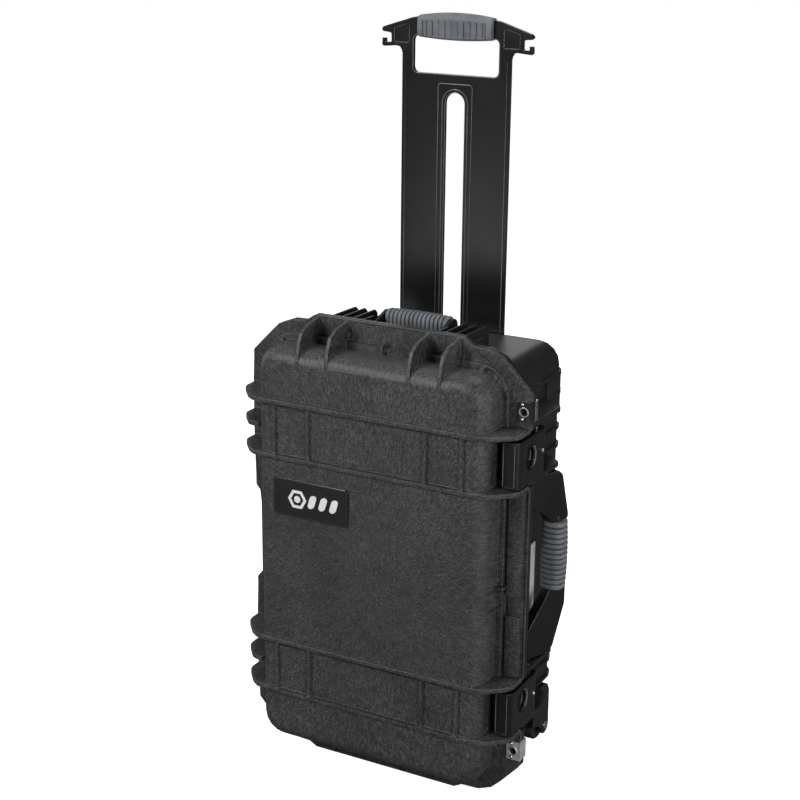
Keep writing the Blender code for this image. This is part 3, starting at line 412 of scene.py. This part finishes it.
# For each group of CAD nodes: the finish, the width of the softened edge and the names.
NODE_FINISHES = (
    ("lid", 0.0011, ("lid_shell",)),
    ("base", 0.0008, ("base_shell",)),
    ("satin", 0.00035, ("pull_handle_plate",)),
    ("fittings", 0.0007, ("latch_upper", "latch_lower", "side_handle_frame", "top_handle_frame")),
    ("fittings", 0.0005, ("latch_trigger_upper", "latch_trigger_lower")),
    ("fittings", 0.0005, ("guide_rail_left", "guide_rail_right", "guide_bridge", "slot_stop")),
    ("fittings", 0.0005, ("wheel_bracket_left", "wheel_bracket_right", "valve_body", "valve_cap")),
    ("seal", 0.0003, ("lid_gasket",)),
    ("steel", 0.0003, ("hinge_pin_upper", "hinge_pin_lower", "latch_pin_upper", "latch_pin_lower")),
    ("steel", 0.0002, ("latch_rivet_upper", "latch_rivet_lower", "axle_left", "axle_right")),
    ("steel", 0.0003, ("side_handle_pin_upper", "side_handle_pin_lower")),
    ("steel", 0.0003, ("top_handle_pin_left", "top_handle_pin_right")),
    ("dark_steel", 0.00025, ("lid_hasp_upper",)),
    ("steel", 0.00025, ("base_hasp_upper",)),
    ("zinc", 0.00025, ("lid_hasp_lower", "base_hasp_lower")),
    ("steel", 0.0002, ("hasp_rivet_upper_a", "hasp_rivet_upper_b")),
    ("steel", 0.0002, ("hasp_rivet_lower_a", "hasp_rivet_lower_b")),
    ("steel", 0.0002, tuple(f"guide_screw_{end}" for end in ("ra", "rb", "rc", "la", "lb", "lc"))),
    ("hub", 0.0004, ("wheel_hub_left", "wheel_hub_right")),
    ("plate", 0.0004, ("badge_plate",)),
    ("label", 0.0001, ("side_label",)),
)


# ---------------------------------------------------------------- pieces built here


def new_piece(name, points, faces, finish, smooth=True):
    """A closed mesh object facing out."""
    mesh = bpy.data.meshes.new(name)
    mesh.from_pydata([tuple(point) for point in points], [], faces)
    work = bmesh.new()
    work.from_mesh(mesh)
    bmesh.ops.recalc_face_normals(work, faces=work.faces)
    if work.calc_volume(signed=True) < 0:
        bmesh.ops.reverse_faces(work, faces=work.faces)
    work.to_mesh(mesh)
    work.free()
    if smooth:
        mesh.shade_smooth()
        mesh.set_sharp_from_angle(angle=SMOOTH_BELOW)
    mesh.materials.append(FINISH[finish])
    obj = bpy.data.objects.new(name, mesh)
    bpy.context.scene.collection.objects.link(obj)
    return obj


def hand_over(obj, body, slot, *nodes):
    """Rides on the body and stands for the nodes. The slot is not used."""
    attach(obj, body)
    if nodes:
        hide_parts(*nodes)
    return obj


def skin(rings, closed):
    """Faces between rings of equal length. A closed run joins its last ring to its first, an open one is
    capped at both ends."""
    count = len(rings[0])
    points = [point for ring in rings for point in ring]
    faces = []
    last = len(rings) if closed else len(rings) - 1
    for k in range(last):
        here = k * count
        there = (k + 1) % len(rings) * count
        for i in range(count):
            j = (i + 1) % count
            faces.append((here + i, here + j, there + j, there + i))
    if not closed:
        faces.append(tuple(range(count)))
        faces.append(tuple(range(len(points) - count, len(points))))
    return points, faces


def axis_point(axis, centre, along, a, b):
    """A point beside a straight axis: along it, then across it both ways."""
    if axis == "X":
        return Vector((along, centre.y + a, centre.z + b))
    if axis == "Y":
        return Vector((centre.x + a, along, centre.z + b))
    return Vector((centre.x + a, centre.y + b, along))


def held(value):
    """The value, held between 0 and 1."""
    return min(1.0, max(0.0, value))


def squircle(radius, power, segments):
    """A round section with slightly flattened sides."""
    points = []
    for k in range(segments):
        turn = 2 * math.pi * (k + 0.5) / segments
        c, s = math.cos(turn), math.sin(turn)
        a = math.copysign(abs(c) ** (2 / power), c)
        b = math.copysign(abs(s) ** (2 / power), s)
        points.append((radius * a, radius * b))
    return points


def round_corners(half_x, half_z, radius, steps=5):
    """A rectangle with round corners."""
    points = []
    for sx, sz, start in ((1, 1, 0.0), (-1, 1, 0.5), (-1, -1, 1.0), (1, -1, 1.5)):
        for k in range(steps + 1):
            turn = math.pi * (start + 0.5 * k / steps)
            a = sx * (half_x - radius) + radius * math.cos(turn)
            points.append((a, sz * (half_z - radius) + radius * math.sin(turn)))
    return points


def turned(name, axis, centre, profile, finish, segments):
    """A ring turned about an axis, from a closed profile of radii and places along the axis."""
    loops = []
    for radius, along in profile:
        section = squircle(radius, ROUND, segments)
        loops.append([axis_point(axis, centre, along, a, b) for a, b in section])
    return new_piece(name, *skin(loops, True), finish)


def grid_faces(wide, tall):
    """Squares between the points of a grid that runs row by row."""
    corners = [j * wide + i for j in range(tall - 1) for i in range(wide - 1)]
    return [(a, a + 1, a + wide + 1, a + wide) for a in corners]


def grid_rim(wide, tall):
    """The points round such a grid's rim."""
    rim = list(range(wide)) + [j * wide + wide - 1 for j in range(1, tall)]
    rim += [(tall - 1) * wide + i for i in range(wide - 2, -1, -1)]
    return rim + [j * wide for j in range(tall - 2, 0, -1)]


def shade_grooves(obj, in_groove):
    """Gives painted shade, the darker groove rubber, to the faces whose middles lie in a groove."""
    obj.data.materials.append(FINISH["groove"])
    for face in obj.data.polygons:
        if in_groove(face.center):
            face.material_index = 1
    return obj


def ribbed_grip(name, node, axis, rings, ends, middle, bore, power):
    """A moulded grip of raised rings with narrow grooves between them."""
    low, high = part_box(node)
    index = "XYZ".index(axis)
    centre = (low + high) / 2
    start, length = low[index], high[index] - low[index]
    pitch = length / rings
    stations = [(0.0, GRIP_EASE), (GRIP_END, 0.0)]
    for ring in range(rings):
        for share, groove in RING_PROFILE:
            if ring > 0 or share > GROOVE_END:
                stations.append(((ring + share) / rings, groove * GROOVE_DEPTH))
    stations += [(1 - GRIP_END, 0.0), (1.0, GRIP_EASE)]

    def ring_at(share, radius, roundness):
        section = squircle(radius, roundness, GRIP_SEGMENTS)
        return [axis_point(axis, centre, start + length * share, a, b) for a, b in section]

    # Painted shade: faces in a groove, away from the grip's ends, get the darker groove rubber.
    def in_groove(place):
        along = place[index] - start
        share = (along / pitch) % 1.0
        inner = pitch * 0.5 < along < length - pitch * 0.5
        return inner and (share < GROOVE_SHADE[0] or share > GROOVE_SHADE[1])

    loops = []
    for share, groove in stations:
        bow = 1 - (2 * share - 1) ** 2
        loops.append(ring_at(share, ends + (middle - ends) * bow - groove, power))
    loops += [ring_at(1.0, bore, ROUND), ring_at(0.0, bore, ROUND)]
    return shade_grooves(new_piece(name, *skin(loops, True), "grip"), in_groove)


def pull_grip():
    """The pull handle's grip: a bowed bar with a fluted panel in its front and back."""
    stations, segments, power = 200, 72, 4.2
    top_drop, bottom_rise = 0.0040, 0.0025
    end_from, end_size = 0.96, 0.84
    panel_half, panel_fade, flutes, depth = 0.0400, 0.0018, 10, 0.0024
    panel_foot, panel_top, height_fade = -0.80, 0.45, 0.12
    side_from, side_fade = 0.80, 0.15
    crowding, flute_foot, flute_power = 0.25, 0.25, 0.9
    line, shade_side, shade_foot, shade_top, shade_wave = 0.0006, 0.55, -0.82, 0.42, 0.16
    low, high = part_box("pull_handle_grip")
    centre = (low + high) / 2
    half_x, half_y, half_mid = (high.x - low.x) / 2, (high.y - low.y) / 2, (high.z - low.z) / 2

    def wave(x):
        return abs(math.cos(math.pi * flutes * x / (2 * panel_half)))

    # Painted shade: faces in the grooves between flutes, and in a thin line round the panel, get the darker
    # groove rubber.
    def in_groove(place):
        x, level = place.x - centre.x, (place.z - centre.z) / half_mid
        if abs(place.y - centre.y) < half_y * shade_side or not shade_foot < level < shade_top:
            return False
        return abs(x) <= panel_half + line and (wave(x) < shade_wave or abs(x) > panel_half - line)

    loops = []
    for k in range(stations + 1):
        u = -math.cos(math.pi * k / stations) * crowding + (2 * k / stations - 1) * (1 - crowding)
        x = centre.x + half_x * u
        top, bottom = high.z - top_drop * u * u, low.z + bottom_rise * u * u
        over = max(0.0, (abs(u) - end_from) / (1 - end_from))
        shut = math.sqrt(max(0.0, 1 - over * over)) * (1 - end_size) + end_size
        mid, half_z = (top + bottom) / 2, (top - bottom) / 2 * shut
        across = held((panel_half - abs(x - centre.x)) / panel_fade)
        hollow = (1 - wave(x - centre.x)) ** flute_power
        fluted = depth * (flute_foot + (1 - flute_foot) * hollow) * across
        loop = []
        for a, b in squircle(1.0, power, segments):
            up = held((panel_top - b) / height_fade) * held((b - panel_foot) / height_fade)
            sunk = fluted * up * held((abs(a) - side_from) / side_fade)
            y = half_y * shut * a - math.copysign(sunk, a)
            loop.append(Vector((x, centre.y + y, mid + half_z * b)))
        loops.append(loop)
    return shade_grooves(new_piece("pull_grip_fluted", *skin(loops, False), "grip"), in_groove)


def egg_crate():
    """The lid's foam: a sheet with rounded peaks and hollows, crowned at its edges."""
    waves_x, waves_z, steps = 12, 20, 6
    inset, wave_level, rise, edge_drop, fade_power = 0.0008, 0.0100, 0.0095, 0.0030, 0.6
    back_edge = ((0.004, 0.0), (0.001, 0.0012), (0.0003, 0.004))
    low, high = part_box("lid_foam")
    columns, rows = waves_x * steps, waves_z * steps
    points = []
    for j in range(rows + 1):
        for i in range(columns + 1):
            u, v = i / columns, j / rows
            peak = -math.cos(math.pi * waves_x * u) * math.cos(math.pi * waves_z * v)
            edge = min(u * waves_x, (1 - u) * waves_x, v * waves_z, (1 - v) * waves_z)
            fade = min(1.0, edge) ** fade_power
            x = low.x + inset + (high.x - low.x - 2 * inset) * u
            z = low.z + inset + (high.z - low.z - 2 * inset) * v
            points.append(Vector((x, high.y - wave_level + rise * peak * fade - edge_drop * (1 - fade), z)))
    faces = grid_faces(columns + 1, rows + 1)
    rim = grid_rim(columns + 1, rows + 1)
    before = rim
    for height, draw in back_edge:
        first = len(points)
        for k in rim:
            x, z = points[k].x, points[k].z
            x += draw * (-1 if x > (low.x + high.x) / 2 else 1)
            z += draw * (-1 if z > (low.z + high.z) / 2 else 1)
            points.append(Vector((x, low.y + height, z)))
        ring = list(range(first, len(points)))
        for k in range(len(ring)):
            n = (k + 1) % len(ring)
            faces.append((before[k], before[n], ring[n], ring[k]))
        before = ring
    faces.append(tuple(before))
    return new_piece("lid_foam_eggcrate", points, faces, "foam")


def soft_foam(name, node, unevenness):
    """A foam block cut like its CAD node, with eased edges and slightly uneven faces."""
    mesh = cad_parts[node].data.copy()
    obj = bpy.data.objects.new(name, mesh)
    bpy.context.scene.collection.objects.link(obj)
    obj.modifiers.new("weld", "WELD").merge_threshold = WELD
    fine = obj.modifiers.new("cells", "REMESH")
    fine.mode = "VOXEL"
    fine.voxel_size = FOAM_CELL
    ease = obj.modifiers.new("ease", "SMOOTH")
    ease.factor = 0.5
    ease.iterations = FOAM_PASSES
    evaluated = obj.evaluated_get(bpy.context.evaluated_depsgraph_get())
    done = bpy.data.meshes.new_from_object(evaluated)
    obj.modifiers.clear()
    obj.data = done
    bpy.data.meshes.remove(mesh)
    normals = [vertex.normal.copy() for vertex in done.vertices]
    for vertex, normal in zip(done.vertices, normals):
        uneven = 0.5 + 0.5 * noise.noise(vertex.co * FOAM_BUMPS)
        vertex.co -= normal * (FOAM_DRAW + unevenness * uneven)
    done.update()
    done.shade_smooth()
    done.materials.clear()
    done.materials.append(FINISH["foam"])
    return obj


def panel_marks(half):
    """Places across a panel: close together at both rims, where its edge and seam are, and wider between."""
    near = (0.0, 0.0004, 0.0012, 0.0025, 0.0045, 0.0060, 0.0068, 0.0075, 0.0082, 0.0090, 0.0110)
    inner = half - near[-1]
    steps = max(2, round(inner / PANEL_STEP))
    places = [-half + d for d in near] + [inner * (2 * k / steps - 1) for k in range(1, steps)]
    return places + [half - d for d in reversed(near)]


def padded_panel(name, node):
    """A padded divider with rounded rims, a seam line near them and slightly full faces."""
    low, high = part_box(node)
    centre, size = (low + high) / 2, high - low
    thin = min(range(3), key=lambda k: size[k])
    wide, tall = (k for k in range(3) if k != thin)
    half = [s / 2 - PANEL_CLEAR for s in size]
    across, along = panel_marks(half[wide]), panel_marks(half[tall])
    columns, rows = len(across), len(along)
    points, faces = [], []
    for sign in (1, -1):
        for b in along:
            for a in across:
                edge = min(half[wide] - abs(a), half[tall] - abs(b))
                rim = math.sqrt(1 - (1 - min(edge / PANEL_EDGE, 1.0)) ** 2)
                seam = SEAM_DEPTH * math.exp(-(((edge - SEAM_PLACE) / SEAM_WIDTH) ** 2))
                full = PANEL_FULL * (1 - held((edge - SEAM_PLACE) / PANEL_FULL_REACH))
                place = Vector((0.0, 0.0, 0.0))
                place[wide], place[tall] = a, b
                other_side = Vector((0, 0, sign * 7))
                bumps = noise.noise((centre + place) * PANEL_BUMPS + other_side)
                uneven = PANEL_UNEVEN * (0.5 + 0.5 * bumps)
                place[thin] = sign * (half[thin] * (RIM_SHARE + (1 - RIM_SHARE) * rim) - seam - full - uneven)
                points.append(centre + place)
    back = columns * rows
    for quad in grid_faces(columns, rows):
        faces.append(quad)
        faces.append(tuple(back + k for k in reversed(quad)))
    rim = grid_rim(columns, rows)
    for k, here in enumerate(rim):
        there = rim[(k + 1) % len(rim)]
        faces.append((there, here, back + here, back + there))
    return new_piece(name, points, faces, "foam")


def bead(name, path, radius, across, finish, closed=False):
    """A thin rounded lip along a path that lies square to one axis."""
    count = len(path)
    loops = []
    for k, spot in enumerate(path):
        before = path[(k - 1) % count] if closed or k > 0 else spot
        after = path[(k + 1) % count] if closed or k < count - 1 else spot
        side = (after - before).normalized().cross(across)
        size = radius if closed or 0 < k < count - 1 else radius * LIP_TAPER
        turns = [2 * math.pi * i / LIP_SIDES for i in range(LIP_SIDES)]
        loops.append([spot + (side * math.cos(t) + across * math.sin(t)) * size for t in turns])
    return new_piece(name, *skin(loops, closed), finish)


def plate_lips():
    """The rounded lips along the pull plate's panels, slot and hand hole, on its front, in a grey finish that
    is a painted highlight on those edges.
    """
    low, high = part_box("pull_handle_plate")
    sunk, thick, fine = 0.0005, 0.0007, 0.0005
    middle, face = (low.x + high.x) / 2, low.y + sunk
    foot, arch_level, rim_half, slot_half = 0.4000, 0.7856, 0.0164, 0.0129
    hole_level, hole_half_x, hole_half_z, hole_round = 0.84025, 0.0557, 0.0219, 0.0064
    border = [(0.0655, foot), (0.0655, 0.62), (0.0655, 0.8385)]
    wing = [(0.0607, 0.8522), (0.0806, 0.8522), (0.0806, 0.8684), (0.0607, 0.8743)]
    door = [(0.0220, foot), (0.0220, 0.8045), (0.0212, 0.8070), (0.0188, 0.8080)]
    door += [(-x, z) for x, z in reversed(door)]
    hole = [(x, hole_level + z) for x, z in round_corners(hole_half_x, hole_half_z, hole_round)]

    def arch(half):
        turns = [math.pi * k / 16 for k in range(17)]
        top = [(half * math.cos(t), arch_level + half * math.sin(t)) for t in turns]
        return [(half, foot)] + top + [(-half, foot)]

    lips = [("door", door, thick, False), ("rim", arch(rim_half), thick, False)]
    lips += [("slot", arch(slot_half), fine, False), ("hole", hole, thick, True)]
    for word, sign in (("right", 1), ("left", -1)):
        lips.append((f"border_{word}", [(sign * x, z) for x, z in border], thick, False))
        lips.append((f"wing_{word}", [(sign * x, z) for x, z in wing], fine, True))
    for word, outline, radius, closed in lips:
        path = [Vector((middle + x, face, z)) for x, z in outline]
        piece = bead(f"plate_lip_{word}", path, radius, Vector((0, 1, 0)), "edge", closed)
        hand_over(piece, "pull_handle", "black_plastic")


def trigger_lips():
    """The crescent lip at the rear of each latch's trigger, with a smaller arc inside it, both in a grey
    finish that is a painted highlight.
    """
    # Each arc's name, its share of the trigger's half size, its reach both ways in degrees, its thickness
    # and how far it is sunk below the trigger's outer face.
    arcs = (("crescent", 0.90, 62, 0.0011, 0.0002), ("arc", 0.55, 50, 0.0006, 0.0043))
    for word in ("upper", "lower"):
        low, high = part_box(f"latch_trigger_{word}")
        centre = (low + high) / 2
        half_y, half_z = (high.y - low.y) / 2, (high.z - low.z) / 2
        for name, share, reach, radius, sunk in arcs:
            path = []
            for k in range(17):
                turn = math.radians(reach * (k / 8 - 1))
                y = centre.y + half_y * share * math.cos(turn)
                z = centre.z + half_z * share * math.sin(turn)
                path.append(Vector((high.x - sunk, y, z)))
            piece = bead(f"trigger_{name}_{word}", path, radius, Vector((1, 0, 0)), "lip")
            hand_over(piece, f"trigger_{word}", "black_plastic")


def latch_lips():
    """The rounded lips down both sides of each latch's front face, in a grey finish that is a painted
    highlight on those edges.
    """
    radius, sunk, inner_inset, outer_inset = 0.0008, 0.0007, 0.0007, 0.0053
    end, full = 0.0012, 0.0030
    for word in ("upper", "lower"):
        low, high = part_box(f"latch_{word}")
        heights = (low.z + end, low.z + full, high.z - full, high.z - end)
        for side, x in (("inner", low.x + inner_inset), ("outer", high.x - outer_inset)):
            path = [Vector((x, low.y + sunk, z)) for z in heights]
            piece = bead(f"latch_lip_{word}_{side}", path, radius, Vector((0, 1, 0)), "lip")
            hand_over(piece, f"latch_{word}", "black_plastic")


def tyre(name, node):
    """A hard tyre with shoulders and three narrow grooves round its tread."""
    low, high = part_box(node)
    centre = (low + high) / 2
    half, radius = (high.x - low.x) / 2, (high.z - low.z) / 2
    bore, lip, wall, groove = 0.0153, 0.0172, 0.0186, 0.0008
    side = [(bore, 1.0), (lip, 1.0), (wall, 0.98), (radius - groove, 0.88), (radius, 0.74)]
    profile = [(r, -share) for r, share in side]
    for spot in (-0.48, 0.0, 0.48):
        profile += [(radius, spot - 0.09), (radius - groove, spot - 0.05)]
        profile += [(radius - groove, spot + 0.05), (radius, spot + 0.09)]
    profile += reversed(side)
    return turned(name, "X", centre, [(r, centre.x + half * share) for r, share in profile], "tyre", 72)


def printed_ring(name, centre, inner, outer):
    """A flat printed ring with rounded lips, on a face that looks along +X."""
    low, high = centre.x + PRINT_GAP, centre.x + PRINT_TOP
    lip = min((outer - inner) * 0.3, (high - low) * 0.4)
    profile = [(inner, low), (outer, low), (outer, high - lip), (outer - lip * 0.3, high - lip * 0.3)]
    profile += [(outer - lip, high), (inner + lip, high), (inner, high - lip)]
    return turned(name, "X", centre, profile, "print", 28)


def eyelet(name, node):
    """The bright ring pressed into a padlock hole, on the lid's plate."""
    from_edge, depth, bore, barrel, flange = 0.0095, 0.0012, 0.0046, 0.0048, 0.0057
    low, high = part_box(node)
    front = low.y
    centre = Vector((high.x - from_edge, 0.0, (low.z + high.z) / 2))
    profile = [(bore, front + depth), (barrel, front + depth), (barrel, front - 0.0001)]
    profile += [(flange, front - 0.0001), (flange, front - 0.0005), (0.0054, front - 0.0009)]
    profile += [(0.0049, front - 0.0010), (bore, front - 0.0006)]
    return turned(name, "Y", centre, profile, "zinc", 48)


def plate_mark(name, outline, centre, front):
    """A thin raised print on a plate that faces -Y, from an outline about a centre."""
    back = [Vector((centre.x + a, front, centre.z + b)) for a, b in outline]
    face = [Vector((centre.x + a, front - MARK_TOP, centre.z + b)) for a, b in outline]
    return new_piece(name, *skin([back, face], False), "emblem", smooth=False)


def polygon(radius, corners):
    """A regular polygon, with its first corner on the right."""
    turns = [2 * math.pi * k / corners for k in range(corners)]
    return [(radius * math.cos(t), radius * math.sin(t)) for t in turns]


def pill(half_x, half_z, x, lean):
    """A bar with round ends, leaning over to the right as it rises."""
    radius = min(half_x, half_z)
    points = []
    for k in range(16):
        turn = 2 * math.pi * (k + 0.5) / 16
        a = math.copysign(half_x - radius, math.cos(turn)) + radius * math.cos(turn)
        b = math.copysign(half_z - radius, math.sin(turn)) + radius * math.sin(turn)
        points.append((x + a + lean * b, b))
    return points


def emblem():
    """A generic mark: a hexagon ring with a core, and three slanted bars."""
    low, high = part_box("badge_plate")
    centre, front = (low + high) / 2, low.y - MARK_GAP
    radius, bar_x, bar_z, gap, pitch, lean = 0.0125, 0.0045, 0.0085, 0.0030, 0.0145, 0.30
    margin = 0.20 * (high.x - low.x)
    start = low.x + margin + radius - centre.x
    rings = []
    outer, inner = polygon(radius, 6), polygon(radius * 0.68, 6)
    for outline, height in ((outer, 0.0), (outer, MARK_TOP), (inner, MARK_TOP), (inner, 0.0)):
        rings.append([Vector((centre.x + start + a, front - height, centre.z + b)) for a, b in outline])
    pieces = [new_piece("emblem_hexagon", *skin(rings, True), "emblem", smooth=False)]
    shapes = {"emblem_core": [(a + start, b) for a, b in polygon(radius * 0.34, 24)]}
    for k, letter in enumerate("abc"):
        x = start + radius + bar_x + gap + k * pitch
        shapes[f"emblem_bar_{letter}"] = pill(bar_x, bar_z, x, lean)
    for name, outline in shapes.items():
        pieces.append(plate_mark(name, outline, centre, front))
    for piece in pieces:
        hand_over(piece, "lid", "badge")


def badge_rim():
    """A thin line round the badge, just inside its edge."""
    outer, inner, height, corner = 0.0012, 0.0016, 0.00015, 0.0030
    low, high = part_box("badge_plate")
    centre = (low + high) / 2
    half_x, half_z = (high.x - low.x) / 2, (high.z - low.z) / 2
    rings = []
    for inset, level in ((outer, 0.0), (outer, height), (inner, height), (inner, 0.0)):
        outline = round_corners(half_x - inset, half_z - inset, corner)
        rings.append([Vector((centre.x + a, low.y - MARK_GAP - level, centre.z + b)) for a, b in outline])
    hand_over(new_piece("badge_rim", *skin(rings, True), "hub", smooth=False), "lid", "badge")


def label_print():
    """The label's printed border and a small generic sign at its foot."""
    outer, inner, corner, sign_height = 0.0003, 0.0011, 0.0010, 0.0150
    low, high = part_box("side_label")
    centre, face = (low + high) / 2, high.x
    half_y, half_z = (high.y - low.y) / 2, (high.z - low.z) / 2
    rings = []
    for inset, level in ((outer, PRINT_GAP), (outer, PRINT_TOP), (inner, PRINT_TOP), (inner, PRINT_GAP)):
        outline = round_corners(half_y - inset, half_z - inset, corner, 3)
        rings.append([Vector((face + level, centre.y + a, centre.z + b)) for a, b in outline])
    border = new_piece("label_border", *skin(rings, True), "print", smooth=False)
    hand_over(border, "base", "label")
    spot = Vector((face, centre.y, low.z + sign_height))
    for name, hole, edge in (("label_sign_ring", 0.0046, 0.0066), ("label_sign_core", 0.0004, 0.0020)):
        hand_over(printed_ring(name, spot, hole, edge), "base", "label")


def gate_mark():
    """The faint ring that the mould's gate leaves in the lid's front."""
    centre, face = Vector((GATE[0], 0.0, GATE[2])), GATE[1]
    profile = [(0.0022, face + 0.0004), (0.0030, face + 0.0004), (0.0029, face - 0.0001)]
    profile += [(0.0026, face - 0.0002), (0.0023, face - 0.0001)]
    hand_over(turned("lid_gate_mark", "Y", centre, profile, "lid", 32), "lid", "grey_plastic")


# ---------------------------------------------------------------- stage


def make_floor():
    """A pale floor: white to the camera, and darker where the object mirrors it."""
    made = bpy.data.materials.new("floor_pale")
    made.use_nodes = True
    tree = made.node_tree
    tree.nodes.clear()
    out = add(tree, "ShaderNodeOutputMaterial")
    ray = add(tree, "ShaderNodeLightPath")
    choose = add(tree, "ShaderNodeMixShader")
    dim = add(tree, "ShaderNodeBsdfDiffuse", {"Color": (0.16, 0.16, 0.16, 1.0)})
    lit = add(tree, "ShaderNodeBsdfDiffuse", {"Color": (0.80, 0.80, 0.80, 1.0)})
    glow = add(tree, "ShaderNodeEmission", {"Color": (1.0, 1.0, 1.0, 1.0), "Strength": 0.86})
    both = add(tree, "ShaderNodeAddShader")
    tree.links.new(lit.outputs[0], both.inputs[0])
    tree.links.new(glow.outputs[0], both.inputs[1])
    tree.links.new(ray.outputs["Is Camera Ray"], choose.inputs["Fac"])
    tree.links.new(dim.outputs[0], choose.inputs[1])
    tree.links.new(both.outputs[0], choose.inputs[2])
    tree.links.new(choose.outputs[0], out.inputs["Surface"])
    reach, drop = 30.0, 0.0005
    corners = [(-reach, -reach, 0), (reach, -reach, 0), (reach, reach, 0), (-reach, reach, 0)]
    mesh = bpy.data.meshes.new("floor")
    mesh.from_pydata(corners, [], [(0, 1, 2, 3)])
    mesh.materials.append(made)
    floor = bpy.data.objects.new("floor", mesh)
    floor.location.z = -drop
    bpy.context.scene.collection.objects.link(floor)


def make_world():
    """White behind everything, and a dim grey room for the light that the lamps do not give."""
    world = bpy.data.worlds.new("studio")
    bpy.context.scene.world = world
    world.use_nodes = True
    tree = world.node_tree
    tree.nodes.clear()
    out = add(tree, "ShaderNodeOutputWorld")
    ray = add(tree, "ShaderNodeLightPath")
    choose = add(tree, "ShaderNodeMixShader")
    white = add(tree, "ShaderNodeBackground", {"Color": (1.0, 1.0, 1.0, 1.0), "Strength": 1.05})
    room = add(tree, "ShaderNodeBackground", {"Color": (0.95, 0.97, 1.0, 1.0), "Strength": 0.05})
    tree.links.new(ray.outputs["Is Camera Ray"], choose.inputs["Fac"])
    tree.links.new(room.outputs[0], choose.inputs[1])
    tree.links.new(white.outputs[0], choose.inputs[2])
    tree.links.new(choose.outputs[0], out.inputs["Surface"])


def softbox(name, place, target, width, height, power):
    """A rectangular lamp that looks at its target."""
    light = bpy.data.lights.new(name, "AREA")
    light.shape = "RECTANGLE"
    light.size = width
    light.size_y = height
    light.energy = power
    obj = bpy.data.objects.new(name, light)
    obj.location = place
    obj.rotation_euler = (Vector(target) - Vector(place)).to_track_quat("-Z", "Y").to_euler()
    bpy.context.scene.collection.objects.link(obj)


def make_lights():
    """Soft lamps round the case, a strip low on each side, and a weak sun for the ceiling."""
    middle = (0.0, -0.05, 0.35)
    right_side, pull_foot = (0.10, -0.03, 0.27), (0.05, 0.10, 0.68)
    softbox("key_softbox", (-1.0, -1.75, 1.65), middle, width=0.7, height=0.9, power=34.0)
    softbox("front_right", (1.95, -1.75, 0.95), middle, width=0.6, height=1.2, power=32.0)
    softbox("top_softbox", (0.1, 0.5, 2.3), middle, width=1.2, height=1.2, power=12.0)
    softbox("rear_card", (-0.7, 1.6, 1.15), middle, width=0.8, height=0.5, power=2.6)
    softbox("right_fill", (2.2, 0.40, 0.85), middle, width=0.5, height=1.5, power=7.0)
    softbox("right_strip", (2.0, 0.9, 1.2), middle, width=0.2, height=1.6, power=7.0)
    softbox("left_fill", (-2.2, 0.2, 0.9), middle, width=0.9, height=1.6, power=8.0)
    softbox("low_right", (0.95, -0.10, 0.27), right_side, width=0.14, height=0.50, power=0.9)
    softbox("low_left", (-0.50, -1.00, 0.32), pull_foot, width=0.12, height=0.40, power=0.55)
    sun = bpy.data.lights.new("ceiling", "SUN")
    sun.energy = 0.40
    sun.angle = math.radians(60)
    obj = bpy.data.objects.new("ceiling", sun)
    obj.rotation_euler = (math.radians(-12), math.radians(-10), 0.0)
    bpy.context.scene.collection.objects.link(obj)


def make_camera():
    """The camera, from its place and its three turns."""
    azimuth, elevation, roll = (math.radians(a) for a in (CAMERA_AZIMUTH, CAMERA_ELEVATION, CAMERA_ROLL))
    flat = math.cos(elevation)
    back = Vector((math.sin(azimuth) * flat, -math.cos(azimuth) * flat, math.sin(elevation)))
    level = Vector((math.cos(azimuth), math.sin(azimuth), 0.0))
    upright = back.cross(level)
    right = level * math.cos(roll) + upright * math.sin(roll)
    up = upright * math.cos(roll) - level * math.sin(roll)
    data = bpy.data.cameras.new("camera")
    data.lens = CAMERA_LENS
    data.sensor_width = 36.0
    data.shift_x, data.shift_y = CAMERA_SHIFT
    data.clip_start, data.clip_end = 0.05, 200.0
    obj = bpy.data.objects.new("camera", data)
    turn = Matrix((right, up, back)).transposed().to_4x4()
    obj.matrix_world = Matrix.Translation(CAMERA_PLACE) @ turn
    bpy.context.scene.collection.objects.link(obj)
    bpy.context.scene.camera = obj


# ---------------------------------------------------------------- the whole

make_camera()
make_floor()
make_world()
make_lights()
bpy.context.scene.view_settings.view_transform = "Standard"

side_grip = ribbed_grip(
    "side_grip_ringed", "side_handle_grip", "Z", rings=13, ends=0.0136, middle=0.0150, bore=0.0083, power=2.5
)
hand_over(side_grip, "side_handle", "grip_rubber", "side_handle_grip")
top_grip = ribbed_grip(
    "top_grip_ringed", "top_handle_grip", "X", rings=15, ends=0.0110, middle=0.0121, bore=0.0083, power=2.4
)
hand_over(top_grip, "top_handle", "grip_rubber", "top_handle_grip")
hand_over(pull_grip(), "pull_handle", "grip_rubber", "pull_handle_grip")

cushions = [hand_over(egg_crate(), "lid", "foam", "lid_foam")]
soft_frame = soft_foam("divider_frame_soft", "divider_frame", unevenness=0.0004)
cushions.append(hand_over(soft_frame, "base", "foam", "divider_frame"))
soft_pad = soft_foam("foam_pad_soft", "base_foam_pad", unevenness=0.0003)
cushions.append(hand_over(soft_pad, "base", "foam", "base_foam_pad"))
for word in ("long", "left_upper", "left_lower", "right"):
    panel = padded_panel(f"divider_{word}_seamed", f"divider_{word}")
    cushions.append(hand_over(panel, "base", "foam", f"divider_{word}"))

for side in ("left", "right"):
    hand_over(tyre(f"tyre_grooved_{side}", f"tyre_{side}"), f"wheel_{side}", "tyre", f"tyre_{side}")

for word in ("upper", "lower"):
    hand_over(eyelet(f"padlock_eyelet_{word}", f"lid_hasp_{word}"), "lid", "steel")

plate_lips()
latch_lips()
trigger_lips()
emblem()
badge_rim()
label_print()
gate_mark()

for finish, width, names in NODE_FINISHES:
    for name in names:
        finish_node(name, finish, width)
